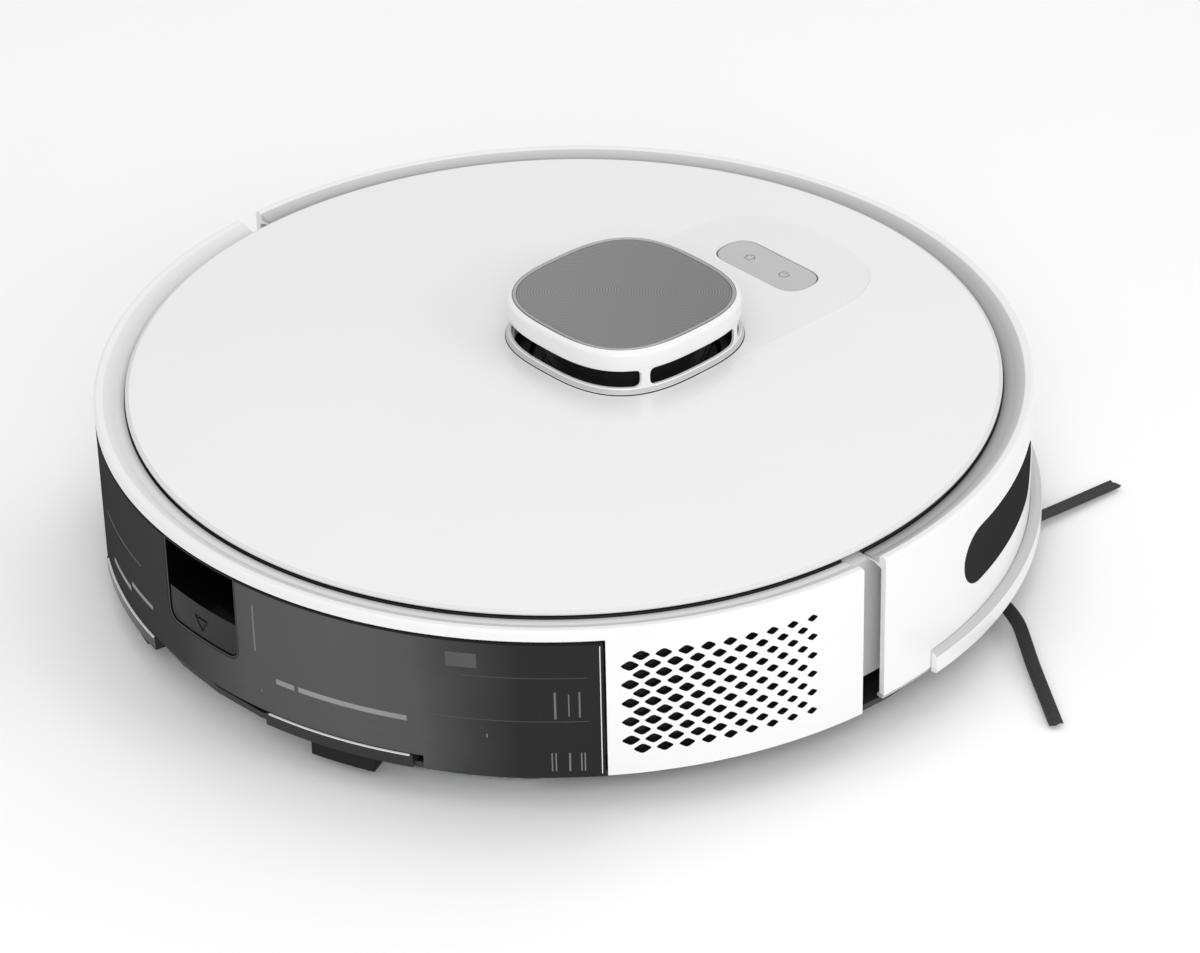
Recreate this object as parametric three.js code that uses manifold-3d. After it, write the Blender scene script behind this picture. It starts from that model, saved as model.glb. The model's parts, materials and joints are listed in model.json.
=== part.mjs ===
// Robot floor cleaner: a round, self-driving vacuum with a laser turret, a sprung front bumper,
// a rear dust bin and a mop pad. Millimetres, +Z up, front of the robot towards -Y, its left
// side towards +X. The origin is on the floor under the centre of the round body.
import * as THREE from 'three';
import { mergeVertices } from 'three/addons/utils/BufferGeometryUtils.js';
import Module from 'manifold-3d';

const wasm = await Module();
wasm.setup();

// ---------------------------------------------------------------- driving dimensions
const GAP = 0.3; // clearance kept between touching pieces
const SEGMENTS = 64; // facets round the large circles
const WALL = 2.4; // thickness of the outer shells

const BODY_R = 172; // vertical outer wall
const BODY_INNER_R = BODY_R - WALL;
const SIDE_BOTTOM_Z = 14.5; // lower edge of the side panels
const RIM_BOTTOM_Z = 70; // underside of the rim, just above the bin
const CREST_Z = 74.6; // top of the rounded rim
const CHANNEL_Z = 72.2; // floor of the channel round the top plate
const RIM_INNER_R = 148; // inner edge of the housing's support ring

const PLATE_R = 160.6;
const PLATE_EDGE_Z = 74.9;
const PLATE_CROWN_Z = 76.1;

const BUMPER_END = 92.2; // degrees from straight ahead
const PANEL_START = 95.5;
const BIN_START = 127.5;
const BUMPER_BOTTOM_Z = 17.5;
const BUMPER_FLANGE_R = 158.5;
const SKIRT_R = 174.5;
const SKIRT_FORWARD = 3; // the skirt's circle is this far ahead of the body's centre
const SKIRT_END = 84.1;
const SKIRT_Z = [15.8, 24.8];

const CHASSIS_R = 164;
const FLOOR_Z = [10, 12.5];
const CHASSIS_TOP_Z = 65.5;
const DECK_Z = [66, 68.2];

const TURRET_Y = -30.6;
const TURRET_HALF = 39.3;
const TURRET_POWER = 2.85; // exponent of the rounded square
const TURRET_TOP_Z = 94.5;
const FLANGE_TOP_Z = 78.5;
const BAND_BOTTOM_Z = 85.8;
const PILLAR_OFFSET = 22.5;

const PAD_Y = -104.2; // rocker pad
const PAD_HALF_LENGTH = 22.3;
const PAD_HALF_WIDTH = 9.05;

const HOLE_COLUMNS = 18; // exhaust grille
const HOLE_FIRST = -124.8;
const HOLE_LAST = -102.7;
const HOLE_PITCH_Z = 7.7;
const HOLE_MIDDLE_Z = 43.9;

const BIN_Z = [19.6, 69.6];
const BIN_FRONT_Y = 74;
const BIN_RIGHT_X = -72;
const BIN_LEFT_X = 110;
const BIN_WALL = 2.2;
const POCKET_HALF = 18.7;
const POCKET_Z = 36;
const POCKET_BACK_Y = 150;
const LATCH_TOP_Z = 49.8;
const TAB_ANGLES = [10.5, 30]; // degrees either side of straight back
const TAB_LEG_ANGLES = [16, 24.5];

const WHEEL_X = 112;
const WHEEL_R = 32.5;
const WHEEL_WIDTH = 18;
const ARM_PIVOT = [-34, 38]; // y, z
const WELL_X = [90, 128];
const WELL_Y = [-48, 41];
const CASTER_Y = -138;
const CASTER_TRAIL = 6.5;
const CASTER_R = 12.5;
const SIDE_BRUSH = [-127.3, -80.1];
const BRISTLE_REACH = 92.1;
const BRISTLE_FIRST = 154.3; // direction of the first bundle, degrees from +X
const ROLLER_Y = 20;
const ROLLER_Z = 22;
const ROLLER_R = 21;
const ROLLER_HALF = 70;
const GUARD_BARS = [-35, 0, 35];
const BLOWER = [-106, 80];
const BLOWER_R = 27;
const BATTERY_Y = [-108, -38];
const BATTERY_HALF_X = 40;
const MOP_Z = [5, 9.6];

// ---------------------------------------------------------------- solids and booleans
const rad = THREE.MathUtils.degToRad;

function solid(geometry) {
  const bare = geometry.clone();
  bare.deleteAttribute('normal');
  bare.deleteAttribute('uv');
  const merged = mergeVertices(bare, 1e-4);
  const points = new Float32Array(merged.attributes.position.array);
  const triangles = new Uint32Array(merged.index.array);
  const corner = (i) => new THREE.Vector3().fromArray(points, 3 * triangles[i]);
  let volume = 0;
  for (let i = 0; i < triangles.length; i += 3) {
    volume += corner(i).dot(corner(i + 1).cross(corner(i + 2)));
  }
  if (volume < 0) {
    triangles.reverse();
  }
  return new wasm.Manifold(new wasm.Mesh({ numProp: 3, vertProperties: points, triVerts: triangles }));
}

function geometryOf(manifold) {
  const mesh = manifold.getMesh();
  const geometry = new THREE.BufferGeometry();
  geometry.setAttribute('position', new THREE.Float32BufferAttribute(mesh.vertProperties, 3));
  geometry.setIndex(new THREE.Uint32BufferAttribute(mesh.triVerts, 1));
  geometry.computeVertexNormals();
  return geometry;
}

const joined = (...parts) => parts.reduce((all, part) => all.add(part));
const cut = (base, ...tools) => tools.reduce((left, tool) => left.subtract(tool), base);

function prism(points, low, high) {
  const shape = new THREE.Shape(points.map(([x, y]) => new THREE.Vector2(x, y)));
  const geometry = new THREE.ExtrudeGeometry(shape, { depth: high - low, bevelEnabled: false });
  return solid(geometry.translate(0, 0, low));
}

function box(x, y, z) {
  const geometry = new THREE.BoxGeometry(x[1] - x[0], y[1] - y[0], z[1] - z[0]);
  return solid(geometry.translate((x[0] + x[1]) / 2, (y[0] + y[1]) / 2, (z[0] + z[1]) / 2));
}

// A profile of [radius, height] points turned about the Z axis.
function turned(profile, segments = SEGMENTS) {
  const points = profile.map(([r, z]) => new THREE.Vector2(r, z));
  return solid(new THREE.LatheGeometry(points, segments).rotateX(Math.PI / 2));
}

const closed = (profile) => [...profile, profile[0]];
const disc = (r, z, segments) => turned([[0, z[0]], [r, z[0]], [r, z[1]], [0, z[1]]], segments);
const moved = (part, x, y, z = 0) => part.translate([x, y, z]);

function ring(inner, outer, z, segments) {
  return turned(closed([[inner, z[0]], [outer, z[0]], [outer, z[1]], [inner, z[1]]]), segments);
}

// A cylinder along X from x[0] to x[1] with its axis at (y, z).
function axle(r, x, y, z, segments = 24) {
  const geometry = new THREE.CylinderGeometry(r, r, x[1] - x[0], segments).rotateZ(Math.PI / 2);
  return solid(geometry.translate((x[0] + x[1]) / 2, y, z));
}

// A cylinder along Y from y[0] to y[1] with its axis at (x, z).
function axleY(r, y, x, z, segments = 24) {
  const geometry = new THREE.CylinderGeometry(r, r, y[1] - y[0], segments);
  return solid(geometry.translate(x, (y[0] + y[1]) / 2, z));
}

// Directions are measured from straight ahead (-Y), positive towards the robot's left (+X).
const polar = (r, degrees) => [r * Math.sin(rad(degrees)), -r * Math.cos(rad(degrees))];

function wedge(from, to, z, reach = 260) {
  const steps = Math.ceil((to - from) / 30);
  const points = [[0, 0]];
  for (let i = 0; i <= steps; i += 1) {
    points.push(polar(reach, from + ((to - from) * i) / steps));
  }
  return prism(points, z[0], z[1]);
}

const sector = (part, from, to) => part.intersect(wedge(from, to, [-1, 120]));

function arc(r, from, to, steps) {
  return Array.from({ length: steps + 1 }, (_, i) => polar(r, from + ((to - from) * i) / steps));
}

function roundedSquare(half, count = 32, centreY = TURRET_Y) {
  return Array.from({ length: count }, (_, i) => {
    const t = (2 * Math.PI * (i + 0.5)) / count;
    const stretch = (Math.abs(Math.cos(t)) ** TURRET_POWER + Math.abs(Math.sin(t)) ** TURRET_POWER)
      ** (-1 / TURRET_POWER);
    return [half * stretch * Math.cos(t), centreY + half * stretch * Math.sin(t)];
  });
}

// A rounded rectangle in the plane, centred on the origin.
function roundedRectangle(halfX, halfY, radius, steps = 3) {
  const corners = [[1, 1, 0], [-1, 1, 90], [-1, -1, 180], [1, -1, 270]];
  return corners.flatMap(([sx, sy, start]) => Array.from({ length: steps + 1 }, (_, i) => {
    const t = rad(start + (90 * i) / steps);
    return [sx * (halfX - radius) + radius * Math.cos(t), sy * (halfY - radius) + radius * Math.sin(t)];
  }));
}

// A prism that crosses the outer wall: its outline is given across and up, its axis points outwards.
function throughWall(outline, degrees, middleZ, near = 160, far = 185) {
  const shape = new THREE.Shape(outline.map(([x, y]) => new THREE.Vector2(x, y)));
  const geometry = new THREE.ExtrudeGeometry(shape, { depth: far - near, bevelEnabled: false });
  geometry.translate(0, 0, near).rotateX(Math.PI / 2).rotateZ(rad(degrees));
  return solid(geometry.translate(0, 0, middleZ));
}

// ---------------------------------------------------------------- model group
const group = new THREE.Group();

function finish(color, roughness, metalness = 0) {
  return () => new THREE.MeshStandardMaterial({ color, roughness, metalness });
}

const white = finish(0xececec, 0.35);
const grey = finish(0x858585, 0.45);
const padGrey = finish(0xbdbdbd, 0.5);
const dark = finish(0x2b2c2e, 0.6);
const black = finish(0x111112, 0.35);
const smoked = finish(0x3a3b3d, 0.12);
const rubber = finish(0x1c1c1d, 0.85);
const metal = finish(0xb9bbbd, 0.3, 1);
const brass = finish(0xc9a15a, 0.35, 1);
const board = finish(0x1d5b38, 0.55);
const cloth = finish(0x8f9399, 0.95);
const paper = finish(0xe4e2da, 0.9);
const blue = finish(0x2e6fae, 0.5);

function add(name, part, material) {
  const mesh = new THREE.Mesh(geometryOf(part), material());
  mesh.name = name;
  group.add(mesh);
}

// ---------------------------------------------------------------- upper shell
const RIM_PROFILE = [
  [RIM_INNER_R, RIM_BOTTOM_Z], [BODY_R, RIM_BOTTOM_Z], [BODY_R, 73], [171.2, 74.2], [170, CREST_Z],
  [169, 74.4], [162.8, CHANNEL_Z], [RIM_INNER_R, CHANNEL_Z],
];

function grilleHoles() {
  const holes = [];
  for (let column = 0; column < HOLE_COLUMNS; column += 1) {
    const t = column / (HOLE_COLUMNS - 1);
    const degrees = HOLE_FIRST + (HOLE_LAST - HOLE_FIRST) * t;
    const halfX = 3.6 - 1.3 * t;
    const halfZ = 2.3 - 0.75 * t;
    const count = column % 2 ? 6 : 5;
    for (let row = 0; row < count; row += 1) {
      const z = HOLE_MIDDLE_Z + (row - (count - 1) / 2) * HOLE_PITCH_Z;
      const diamond = [[halfX, 0], [0, halfZ], [-halfX, 0], [0, -halfZ]];
      holes.push(throughWall(diamond, degrees, z, 168, 174));
    }
  }
  return wasm.Manifold.union(holes);
}

function upperHousing() {
  const rim = sector(turned(closed(RIM_PROFILE)), PANEL_START, 360 - PANEL_START);
  const support = ring(RIM_INNER_R, 152.5, [RIM_BOTTOM_Z, CHANNEL_Z]);
  const wall = ring(BODY_INNER_R, BODY_R, [SIDE_BOTTOM_Z, RIM_BOTTOM_Z + 1]);
  const inner = ring(161, 163.4, [22, RIM_BOTTOM_Z + 1]);
  const parts = [rim, support];
  for (const side of [-1, 1]) {
    const span = (from, to) => (side > 0 ? [from, to] : [-to, -from]);
    parts.push(sector(wall, ...span(PANEL_START, BIN_START)));
    parts.push(sector(inner, ...span(PANEL_START - 9, PANEL_START + 0.8)));
    parts.push(sector(ring(161, BODY_R, [22, RIM_BOTTOM_Z + 1]), ...span(PANEL_START, PANEL_START + 0.8)));
    parts.push(sector(ring(RIM_INNER_R, 163.4, [RIM_BOTTOM_Z, 71.2]), ...span(PANEL_START - 9, 100)));
  }
  return cut(joined(...parts), grilleHoles());
}

function topPlate() {
  const crown = [120, 60].map((r) => (
    [r, PLATE_EDGE_Z + (PLATE_CROWN_Z - PLATE_EDGE_Z) * (1 - (r / PLATE_R) ** 2)]
  ));
  const plate = turned([
    [0, CHANNEL_Z + GAP], [PLATE_R - 2.2, CHANNEL_Z + GAP], [PLATE_R, CHANNEL_Z + 1.4],
    [PLATE_R, PLATE_EDGE_Z - 0.7],
    [PLATE_R - 1.3, PLATE_EDGE_Z], ...crown, [0, PLATE_CROWN_Z],
  ]);
  const turretHole = prism(roundedSquare(TURRET_HALF - 2.2), 60, 90);
  const padHole = moved(prism(roundedRectangle(PAD_HALF_LENGTH + 0.5, PAD_HALF_WIDTH + 0.5, 9, 4), 60, 90), 0, PAD_Y);
  return cut(plate, turretHole, padHole);
}

function rockerPad() {
  const pad = prism(roundedRectangle(PAD_HALF_LENGTH, PAD_HALF_WIDTH, 9, 4), 73.4, 75.5);
  return moved(joined(pad, box([-8, 8], [-3, 3], [71.8, 74])), 0, PAD_Y);
}

function topDeck() {
  const deck = disc(RIM_INNER_R - 1, DECK_Z, 48);
  const rearFlat = box([-150, 150], [70.5, 160], [60, 70]);
  const turretHole = moved(disc(36, [60, 70], 32), 0, TURRET_Y);
  const motorHole = moved(disc(9, [60, 70], 16), 0, PULLEY_Y);
  return cut(deck, rearFlat, turretHole, motorHole);
}

// ---------------------------------------------------------------- laser turret
function turretCover() {
  const base = PLATE_CROWN_Z + GAP;
  const outer = joined(
    prism(roundedSquare(TURRET_HALF + 0.6), base, FLANGE_TOP_Z - 0.8),
    prism(roundedSquare(TURRET_HALF), FLANGE_TOP_Z - 0.8, 93.6),
  );
  const hollow = prism(roundedSquare(TURRET_HALF - WALL), base - 1, 91.2);
  const seat = prism(roundedSquare(TURRET_HALF - 1.8), 92.4, 95);
  const windows = [
    box([-60, 60], [TURRET_Y + PILLAR_OFFSET + 2.2, 60], [FLANGE_TOP_Z, BAND_BOTTOM_Z]),
    box([-60, 60], [-120, TURRET_Y - PILLAR_OFFSET - 2.2], [FLANGE_TOP_Z, BAND_BOTTOM_Z]),
    box([-60, 60], [TURRET_Y - PILLAR_OFFSET + 2.2, TURRET_Y + PILLAR_OFFSET - 2.2], [FLANGE_TOP_Z, BAND_BOTTOM_Z]),
  ];
  return cut(outer, hollow, seat, ...windows);
}

function turretInset() {
  return joined(
    prism(roundedSquare(TURRET_HALF - 1.8 - GAP), 92.7, 93.9),
    prism(roundedSquare(TURRET_HALF - 3), 93.8, TURRET_TOP_Z),
  );
}

const LENS_Z = 82;
const LENSES = [[-11, 5.4], [9, 7.4]]; // x and radius of the emitter's and the receiver's lens
const PULLEY_Y = TURRET_Y - 46;
const BELT_Z = [68.9, 71.1];
const ROTOR_RING_R = 30;
const PULLEY_R = 4;

function lidarRotor() {
  const tower = disc(26, [66.8, 90], 24);
  const hub = ring(20, ROTOR_RING_R, [66.8, 71.3], 32);
  const face = box([-30, 30], [-40, -21], [72, 95]);
  const bores = LENSES.map(([x, r]) => axleY(r + GAP, [-30, -15.5], x, LENS_Z, 16));
  return moved(cut(joined(tower, hub), face, ...bores), 0, TURRET_Y);
}

const lens = ([x, r]) => moved(axleY(r, [-20.8, -15.8], x, LENS_Z, 16), 0, TURRET_Y);

function lidarBase() {
  const seat = moved(disc(34.5, [60, 66.4], 32), 0, TURRET_Y);
  const tongue = box([-11, 11], [PULLEY_Y - 10, TURRET_Y], [60, 63]);
  return cut(joined(seat, tongue), moved(disc(3, [50, 70], 16), 0, PULLEY_Y));
}

function lidarMotor() {
  return moved(joined(disc(8.5, [40, 59.6], 24), disc(2.6, [59, 63.6], 16)), 0, PULLEY_Y);
}

function lidarPulley() {
  const profile = [
    [0, 64], [5, 64], [5, 68.4], [PULLEY_R, 68.7], [PULLEY_R, 71.3], [5, 71.6], [5, 71.9], [0, 71.9],
  ];
  return moved(turned(profile, 14), 0, PULLEY_Y);
}

// A loop round the rotor's ring and the motor's pulley: two arcs and their common tangents.
function beltOutline(extra) {
  const big = ROTOR_RING_R + extra;
  const small = PULLEY_R + extra;
  const lean = Math.acos((big - small) / (TURRET_Y - PULLEY_Y));
  const points = [];
  for (let i = 0; i <= 24; i += 1) {
    const t = -Math.PI / 2 + lean + ((2 * Math.PI - 2 * lean) * i) / 24;
    points.push([big * Math.cos(t), TURRET_Y + big * Math.sin(t)]);
  }
  for (let i = 0; i <= 8; i += 1) {
    const t = -Math.PI / 2 - lean + (2 * lean * i) / 8;
    points.push([small * Math.cos(t), PULLEY_Y + small * Math.sin(t)]);
  }
  return points;
}

function lidarBelt() {
  return cut(
    prism(beltOutline(GAP + 1), BELT_Z[0], BELT_Z[1]),
    prism(beltOutline(GAP), BELT_Z[0] - 1, BELT_Z[1] + 1),
  );
}

// ---------------------------------------------------------------- bumper
const WINDOW = { degrees: -64.25, halfX: 39.4, halfZ: 11.4, z: 49, radius: 11.3 };
const FRONT_WINDOW = { degrees: 0, halfX: 34, halfZ: 8, z: 50, radius: 7 };

function windowPrism({ degrees, halfX, halfZ, z, radius }, extra) {
  const outline = roundedRectangle(halfX + extra, halfZ + extra, radius + extra);
  return throughWall(outline, degrees, z, 150, 180);
}

function bumperShell() {
  const profile = [
    [BODY_R, BUMPER_BOTTOM_Z], [BODY_R, 73], [171.2, 74.2], [170, CREST_Z], [169, 74.4],
    [162.8, CHANNEL_Z], [BUMPER_FLANGE_R, CHANNEL_Z], [BUMPER_FLANGE_R, 71.5], [166, 71.5],
    [BODY_INNER_R, 69.5], [BODY_INNER_R, BUMPER_BOTTOM_Z],
  ];
  const shell = sector(turned(closed(profile)), -BUMPER_END, BUMPER_END);
  return cut(shell, windowPrism(WINDOW, GAP), windowPrism(FRONT_WINDOW, GAP));
}

function bumperWindow(shape) {
  return windowPrism(shape, 0).intersect(ring(BODY_INNER_R + 0.2, BODY_R - 0.15, [20, 68]));
}

function bumperSkirt() {
  const [low, high] = SKIRT_Z;
  const profile = [[0, low], [SKIRT_R, low], [SKIRT_R, high - 1.9], [SKIRT_R - 2.4, high], [0, high]];
  const outer = moved(turned(profile), 0, -SKIRT_FORWARD);
  const inner = disc(BODY_R + GAP, [0, 40]);
  return sector(cut(outer, inner), -SKIRT_END, SKIRT_END);
}

function bumperStrip() {
  const strip = ring(168.4, 171.4, [SKIRT_Z[0], BUMPER_BOTTOM_Z - GAP]);
  return sector(strip, -BUMPER_END, BUMPER_END);
}

const SWITCH_R = 155;
const SWITCH_ANGLE = 38;

// The slot in the chassis wall that a switch's lever reaches through.
function switchSlot(side) {
  const [x, y] = polar(SWITCH_R, side * SWITCH_ANGLE);
  return moved(box([-7, 7], [-20, -3], [53, 58]).rotate([0, 0, side * SWITCH_ANGLE]), x, y);
}

function bumperSwitch(side) {
  const [x, y] = polar(SWITCH_R, side * SWITCH_ANGLE);
  const body = box([-8, 8], [-5, 5], [50, 61]);
  const lever = box([-6, 6], [-10, -4], [54, 57]);
  return moved(joined(body, lever).rotate([0, 0, side * SWITCH_ANGLE]), x, y);
}

// ---------------------------------------------------------------- chassis
const both = (make) => [-1, 1].map(make);
const span = (side, from, to) => (side > 0 ? [from, to] : [-to, -from]);

function chassisBase() {
  const walls = (x, y, low, high, thick = 2) => cut(
    box([x[0] - thick, x[1] + thick], [y[0] - thick, y[1] + thick], [low, high]),
    box(x, y, [low - 1, high + 1]),
  );
  const rimWall = ring(CHASSIS_R - 2.4, CHASSIS_R, [FLOOR_Z[0], CHASSIS_TOP_Z], 48);
  const sideWall = ring(CHASSIS_R, CHASSIS_R + 2.4, [FLOOR_Z[0], CHASSIS_TOP_Z], 48);
  const parts = [
    disc(CHASSIS_R + 2.4, FLOOR_Z, 48),
    sector(rimWall, -83, 83),
    walls([BIN_RIGHT_X - 3, BIN_LEFT_X + 3], [BIN_FRONT_Y - 2.5, 119], FLOOR_Z[1] - 1, CHASSIS_TOP_Z),
    walls([-73, 73], [-5, 45], FLOOR_Z[1] - 1, 46),
    box([-75, 75], [-7, 47], [46, 48]),
    box([-37, 37], [44, BIN_FRONT_Y - 2.5], [24, 49]),
    walls([-BATTERY_HALF_X - 1, BATTERY_HALF_X + 1], [BATTERY_Y[0] - 2, BATTERY_Y[1] + 2], 11, 38),
    box([-BATTERY_HALF_X - 2, BATTERY_HALF_X + 2], [BATTERY_Y[0] - 3, BATTERY_Y[1] + 3], [36, 38]),
    moved(disc(24, [11, 46], 32), 0, CASTER_Y),
  ];
  for (const side of [-1, 1]) {
    const well = WELL_X.map((x) => x * side).sort((a, b) => a - b);
    parts.push(walls(well, WELL_Y, FLOOR_Z[1] - 1, CHASSIS_TOP_Z));
    parts.push(sector(sideWall, ...span(side, 100, 127)));
    parts.push(box([side * 40 - 3, side * 40 + 3], [BIN_FRONT_Y, 140], [12, BIN_Z[0] - GAP]));
  }
  const cuts = [
    box([BIN_RIGHT_X - 6, BIN_LEFT_X + 6], [118, 180], [FLOOR_Z[1], 80]),
    box([-73, 73], [-5, 45], [0, 46]),
    box([-35, 35], [40, BIN_FRONT_Y], [28, 45]),
    box([-BATTERY_HALF_X - 1, BATTERY_HALF_X + 1], [BATTERY_Y[0] - 2, BATTERY_Y[1] + 2], [0, 36]),
    moved(disc(22, [0, 34], 32), 0, CASTER_Y),
    moved(disc(5.6, [0, 60], 16), 0, CASTER_Y),
    moved(disc(4, [0, 20], 16), ...SIDE_BRUSH),
    axle(4.5, [72, 80], ROLLER_Y, ROLLER_Z, 16),
    ...both((side) => switchSlot(side)),
    ...both((side) => box(WELL_X.map((x) => x * side).sort((a, b) => a - b), WELL_Y, [0, 70])),
    ...both((side) => sector(disc(200, [12.4, 80]), ...span(side, 83.1, 99.9))
      .subtract(disc(159, [0, 90], 48))),
  ];
  return cut(joined(...parts), ...cuts);
}

function batteryCover() {
  const panel = box([-BATTERY_HALF_X - 0.6, BATTERY_HALF_X + 0.6], [BATTERY_Y[0] - 1.6, BATTERY_Y[1] + 1.6], FLOOR_Z);
  return cut(panel, moved(disc(3.4, [9, 11.4], 16), 0, BATTERY_Y[0] + 3.6));
}

function coverScrew() {
  const head = disc(3, [9.9, 11.1], 16);
  const slots = [box([-2, 2], [-0.4, 0.4], [9, 10.5]), box([-0.4, 0.4], [-2, 2], [9, 10.5])];
  return moved(cut(head, ...slots), 0, BATTERY_Y[0] + 3.6);
}

function batteryPack() {
  const cells = [];
  for (let i = 0; i < 4; i += 1) {
    cells.push(axle(9, [-35, 35], BATTERY_Y[0] + 10 + i * 16.6, 23.6, 20));
  }
  const tray = box([-38, 38], [BATTERY_Y[0] + 1, BATTERY_Y[1] - 1], [13, 22]);
  return joined(...cells, tray);
}

function mainBoard() {
  const sheet = box([-70, 70], [-112, -38], [50, 51.6]);
  const parts = [[-50, -95, 14, 9], [-20, -60, 12, 5], [25, -98, 18, 4], [48, -60, 12, 11], [-55, -58, 9, 7]];
  const chips = parts.map(([x, y, half, height]) => box([x - half, x + half], [y - 7, y + 7], [51, 51.6 + height]));
  return cut(joined(sheet, ...chips), moved(disc(10, [40, 70], 24), 0, PULLEY_Y));
}

function chargingContact(side) {
  const plate = prism(roundedRectangle(12, 5, 2, 2), 8.4, 9.7);
  return moved(plate, side * 44, -132);
}

function cliffWindow(degrees) {
  const [x, y] = polar(151, degrees);
  return moved(prism(roundedRectangle(9, 4.5, 2, 2), 8.8, 9.7).rotate([0, 0, degrees]), x, y);
}

// ---------------------------------------------------------------- drive wheels
function wheelArm(side) {
  const [pivotY, pivotZ] = ARM_PIVOT;
  const inside = [WHEEL_X - WHEEL_WIDTH / 2 - 11, WHEEL_X - WHEEL_WIDTH / 2 - 1.2];
  const x = inside.map((value) => value * side).sort((a, b) => a - b);
  const gearbox = [
    axle(11, x, pivotY + 1, pivotZ, 24),
    axle(15, x, 2, WHEEL_R, 28),
    box(x, [pivotY, 2], [24, 48]),
    box(x, [-16, 6], [40, 50]),
  ];
  return joined(...gearbox);
}

function suspensionSpring(side) {
  const x = side * (WHEEL_X - WHEEL_WIDTH / 2 - 6);
  const turns = 4;
  class Coil extends THREE.Curve {
    getPoint(t) {
      const angle = 2 * Math.PI * turns * t;
      return new THREE.Vector3(3.2 * Math.cos(angle), 3.2 * Math.sin(angle), 51.2 + 12.6 * t);
    }
  }
  const section = new THREE.Shape([[0.6, 0], [0, 0.6], [-0.6, 0], [0, -0.6]].map(([a, b]) => new THREE.Vector2(a, b)));
  const wire = new THREE.ExtrudeGeometry(section, { extrudePath: new Coil(), steps: 32, bevelEnabled: false });
  return moved(solid(wire), x, -5);
}

const wheelSpan = (side, from, to) => [from * side + WHEEL_X * side, to * side + WHEEL_X * side]
  .sort((a, b) => a - b);

function wheelHub(side) {
  const half = WHEEL_WIDTH / 2;
  const outer = axle(26, wheelSpan(side, -half + 0.5, half - 0.5), 0, WHEEL_R, 32);
  const spokes = [];
  for (let i = 0; i < 6; i += 1) {
    const t = rad(60 * i + 30);
    spokes.push(axle(5, wheelSpan(side, half - 4, half + 2), 16 * Math.cos(t), WHEEL_R + 16 * Math.sin(t), 8));
  }
  return cut(outer, ...spokes);
}

function wheelTyre(side) {
  const half = WHEEL_WIDTH / 2;
  return cut(
    axle(WHEEL_R, wheelSpan(side, -half, half), 0, WHEEL_R, 40),
    axle(26 + GAP, wheelSpan(side, -half - 1, half + 1), 0, WHEEL_R, 32),
  );
}

// ---------------------------------------------------------------- caster
function casterFork() {
  const wheelY = CASTER_TRAIL;
  const head = joined(disc(20.5, [26, 31], 28), disc(5, [30, 44], 16));
  const cheeks = both((side) => joined(
    box([side * 9.2 - 1.4, side * 9.2 + 1.4], [wheelY - 6, wheelY + 6], [CASTER_R - 1, 27]),
    axle(6, [side * 9.2 - 1.4, side * 9.2 + 1.4], wheelY, CASTER_R, 16),
  ));
  const pin = axle(1.6, [-9, 9], wheelY, CASTER_R, 12);
  return moved(joined(head, ...cheeks, pin), 0, CASTER_Y);
}

function casterWheel() {
  const y = CASTER_Y + CASTER_TRAIL;
  const tread = axle(CASTER_R, [-7, 7], y, CASTER_R, 32);
  return cut(tread, axle(1.9, [-9, 9], y, CASTER_R, 16));
}

// ---------------------------------------------------------------- brushes
function sideBrushHub() {
  const hub = turned([[0, 4.2], [9, 4.2], [11.5, 5.4], [11.5, 7.6], [5, 9.4], [2.8, 9.6], [2.8, 16], [0, 16]], 20);
  return moved(hub, ...SIDE_BRUSH);
}

function bristleBundle(index) {
  const t = rad(BRISTLE_FIRST + 120 * index);
  const route = [[12.6, 1.4, 6.6], [22, 7.6, 6.2], [34, 8.6, 5.4], [60, 4.7, 3.6], [BRISTLE_REACH, 0.4, 1.6]];
  const points = route.map(([along, across, z]) => new THREE.Vector3(
    SIDE_BRUSH[0] + along * Math.cos(t) - across * Math.sin(t),
    SIDE_BRUSH[1] + along * Math.sin(t) + across * Math.cos(t),
    z,
  ));
  const section = new THREE.Shape([[0.9, 0], [0, 2.1], [-0.9, 0], [0, -2.1]].map(([a, b]) => new THREE.Vector2(a, b)));
  return solid(new THREE.ExtrudeGeometry(section, {
    extrudePath: new THREE.CatmullRomCurve3(points), steps: 10, bevelEnabled: false,
  }));
}

function sideBrushMotor() {
  return moved(cut(disc(10.5, [FLOOR_Z[1] + GAP, 44], 28), disc(3.4, [0, 17], 16)), ...SIDE_BRUSH);
}

// One length of the roller: five swept fins on a round core.
function rollerStar(from, to) {
  const fins = 5;
  const outline = [];
  for (let i = 0; i < fins; i += 1) {
    const at = (360 / fins) * i;
    outline.push([11, at - 8], [ROLLER_R, at - 5], [ROLLER_R, at + 1], [11, at + 10]);
  }
  const shape = new THREE.Shape(outline.map(([r, degrees]) => new THREE.Vector2(
    r * Math.cos(rad(degrees)),
    r * Math.sin(rad(degrees)),
  )));
  const geometry = new THREE.ExtrudeGeometry(shape, { depth: to - from, steps: 2, bevelEnabled: false });
  geometry.translate(0, 0, from);
  const point = new THREE.Vector3();
  const place = geometry.attributes.position;
  for (let i = 0; i < place.count; i += 1) {
    point.fromBufferAttribute(place, i);
    point.applyAxisAngle(new THREE.Vector3(0, 0, 1), rad(55 - Math.abs(point.z) * 0.8));
    place.setXYZ(i, point.z, point.x, point.y);
  }
  return moved(solid(geometry), 0, ROLLER_Y, ROLLER_Z);
}

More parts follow.
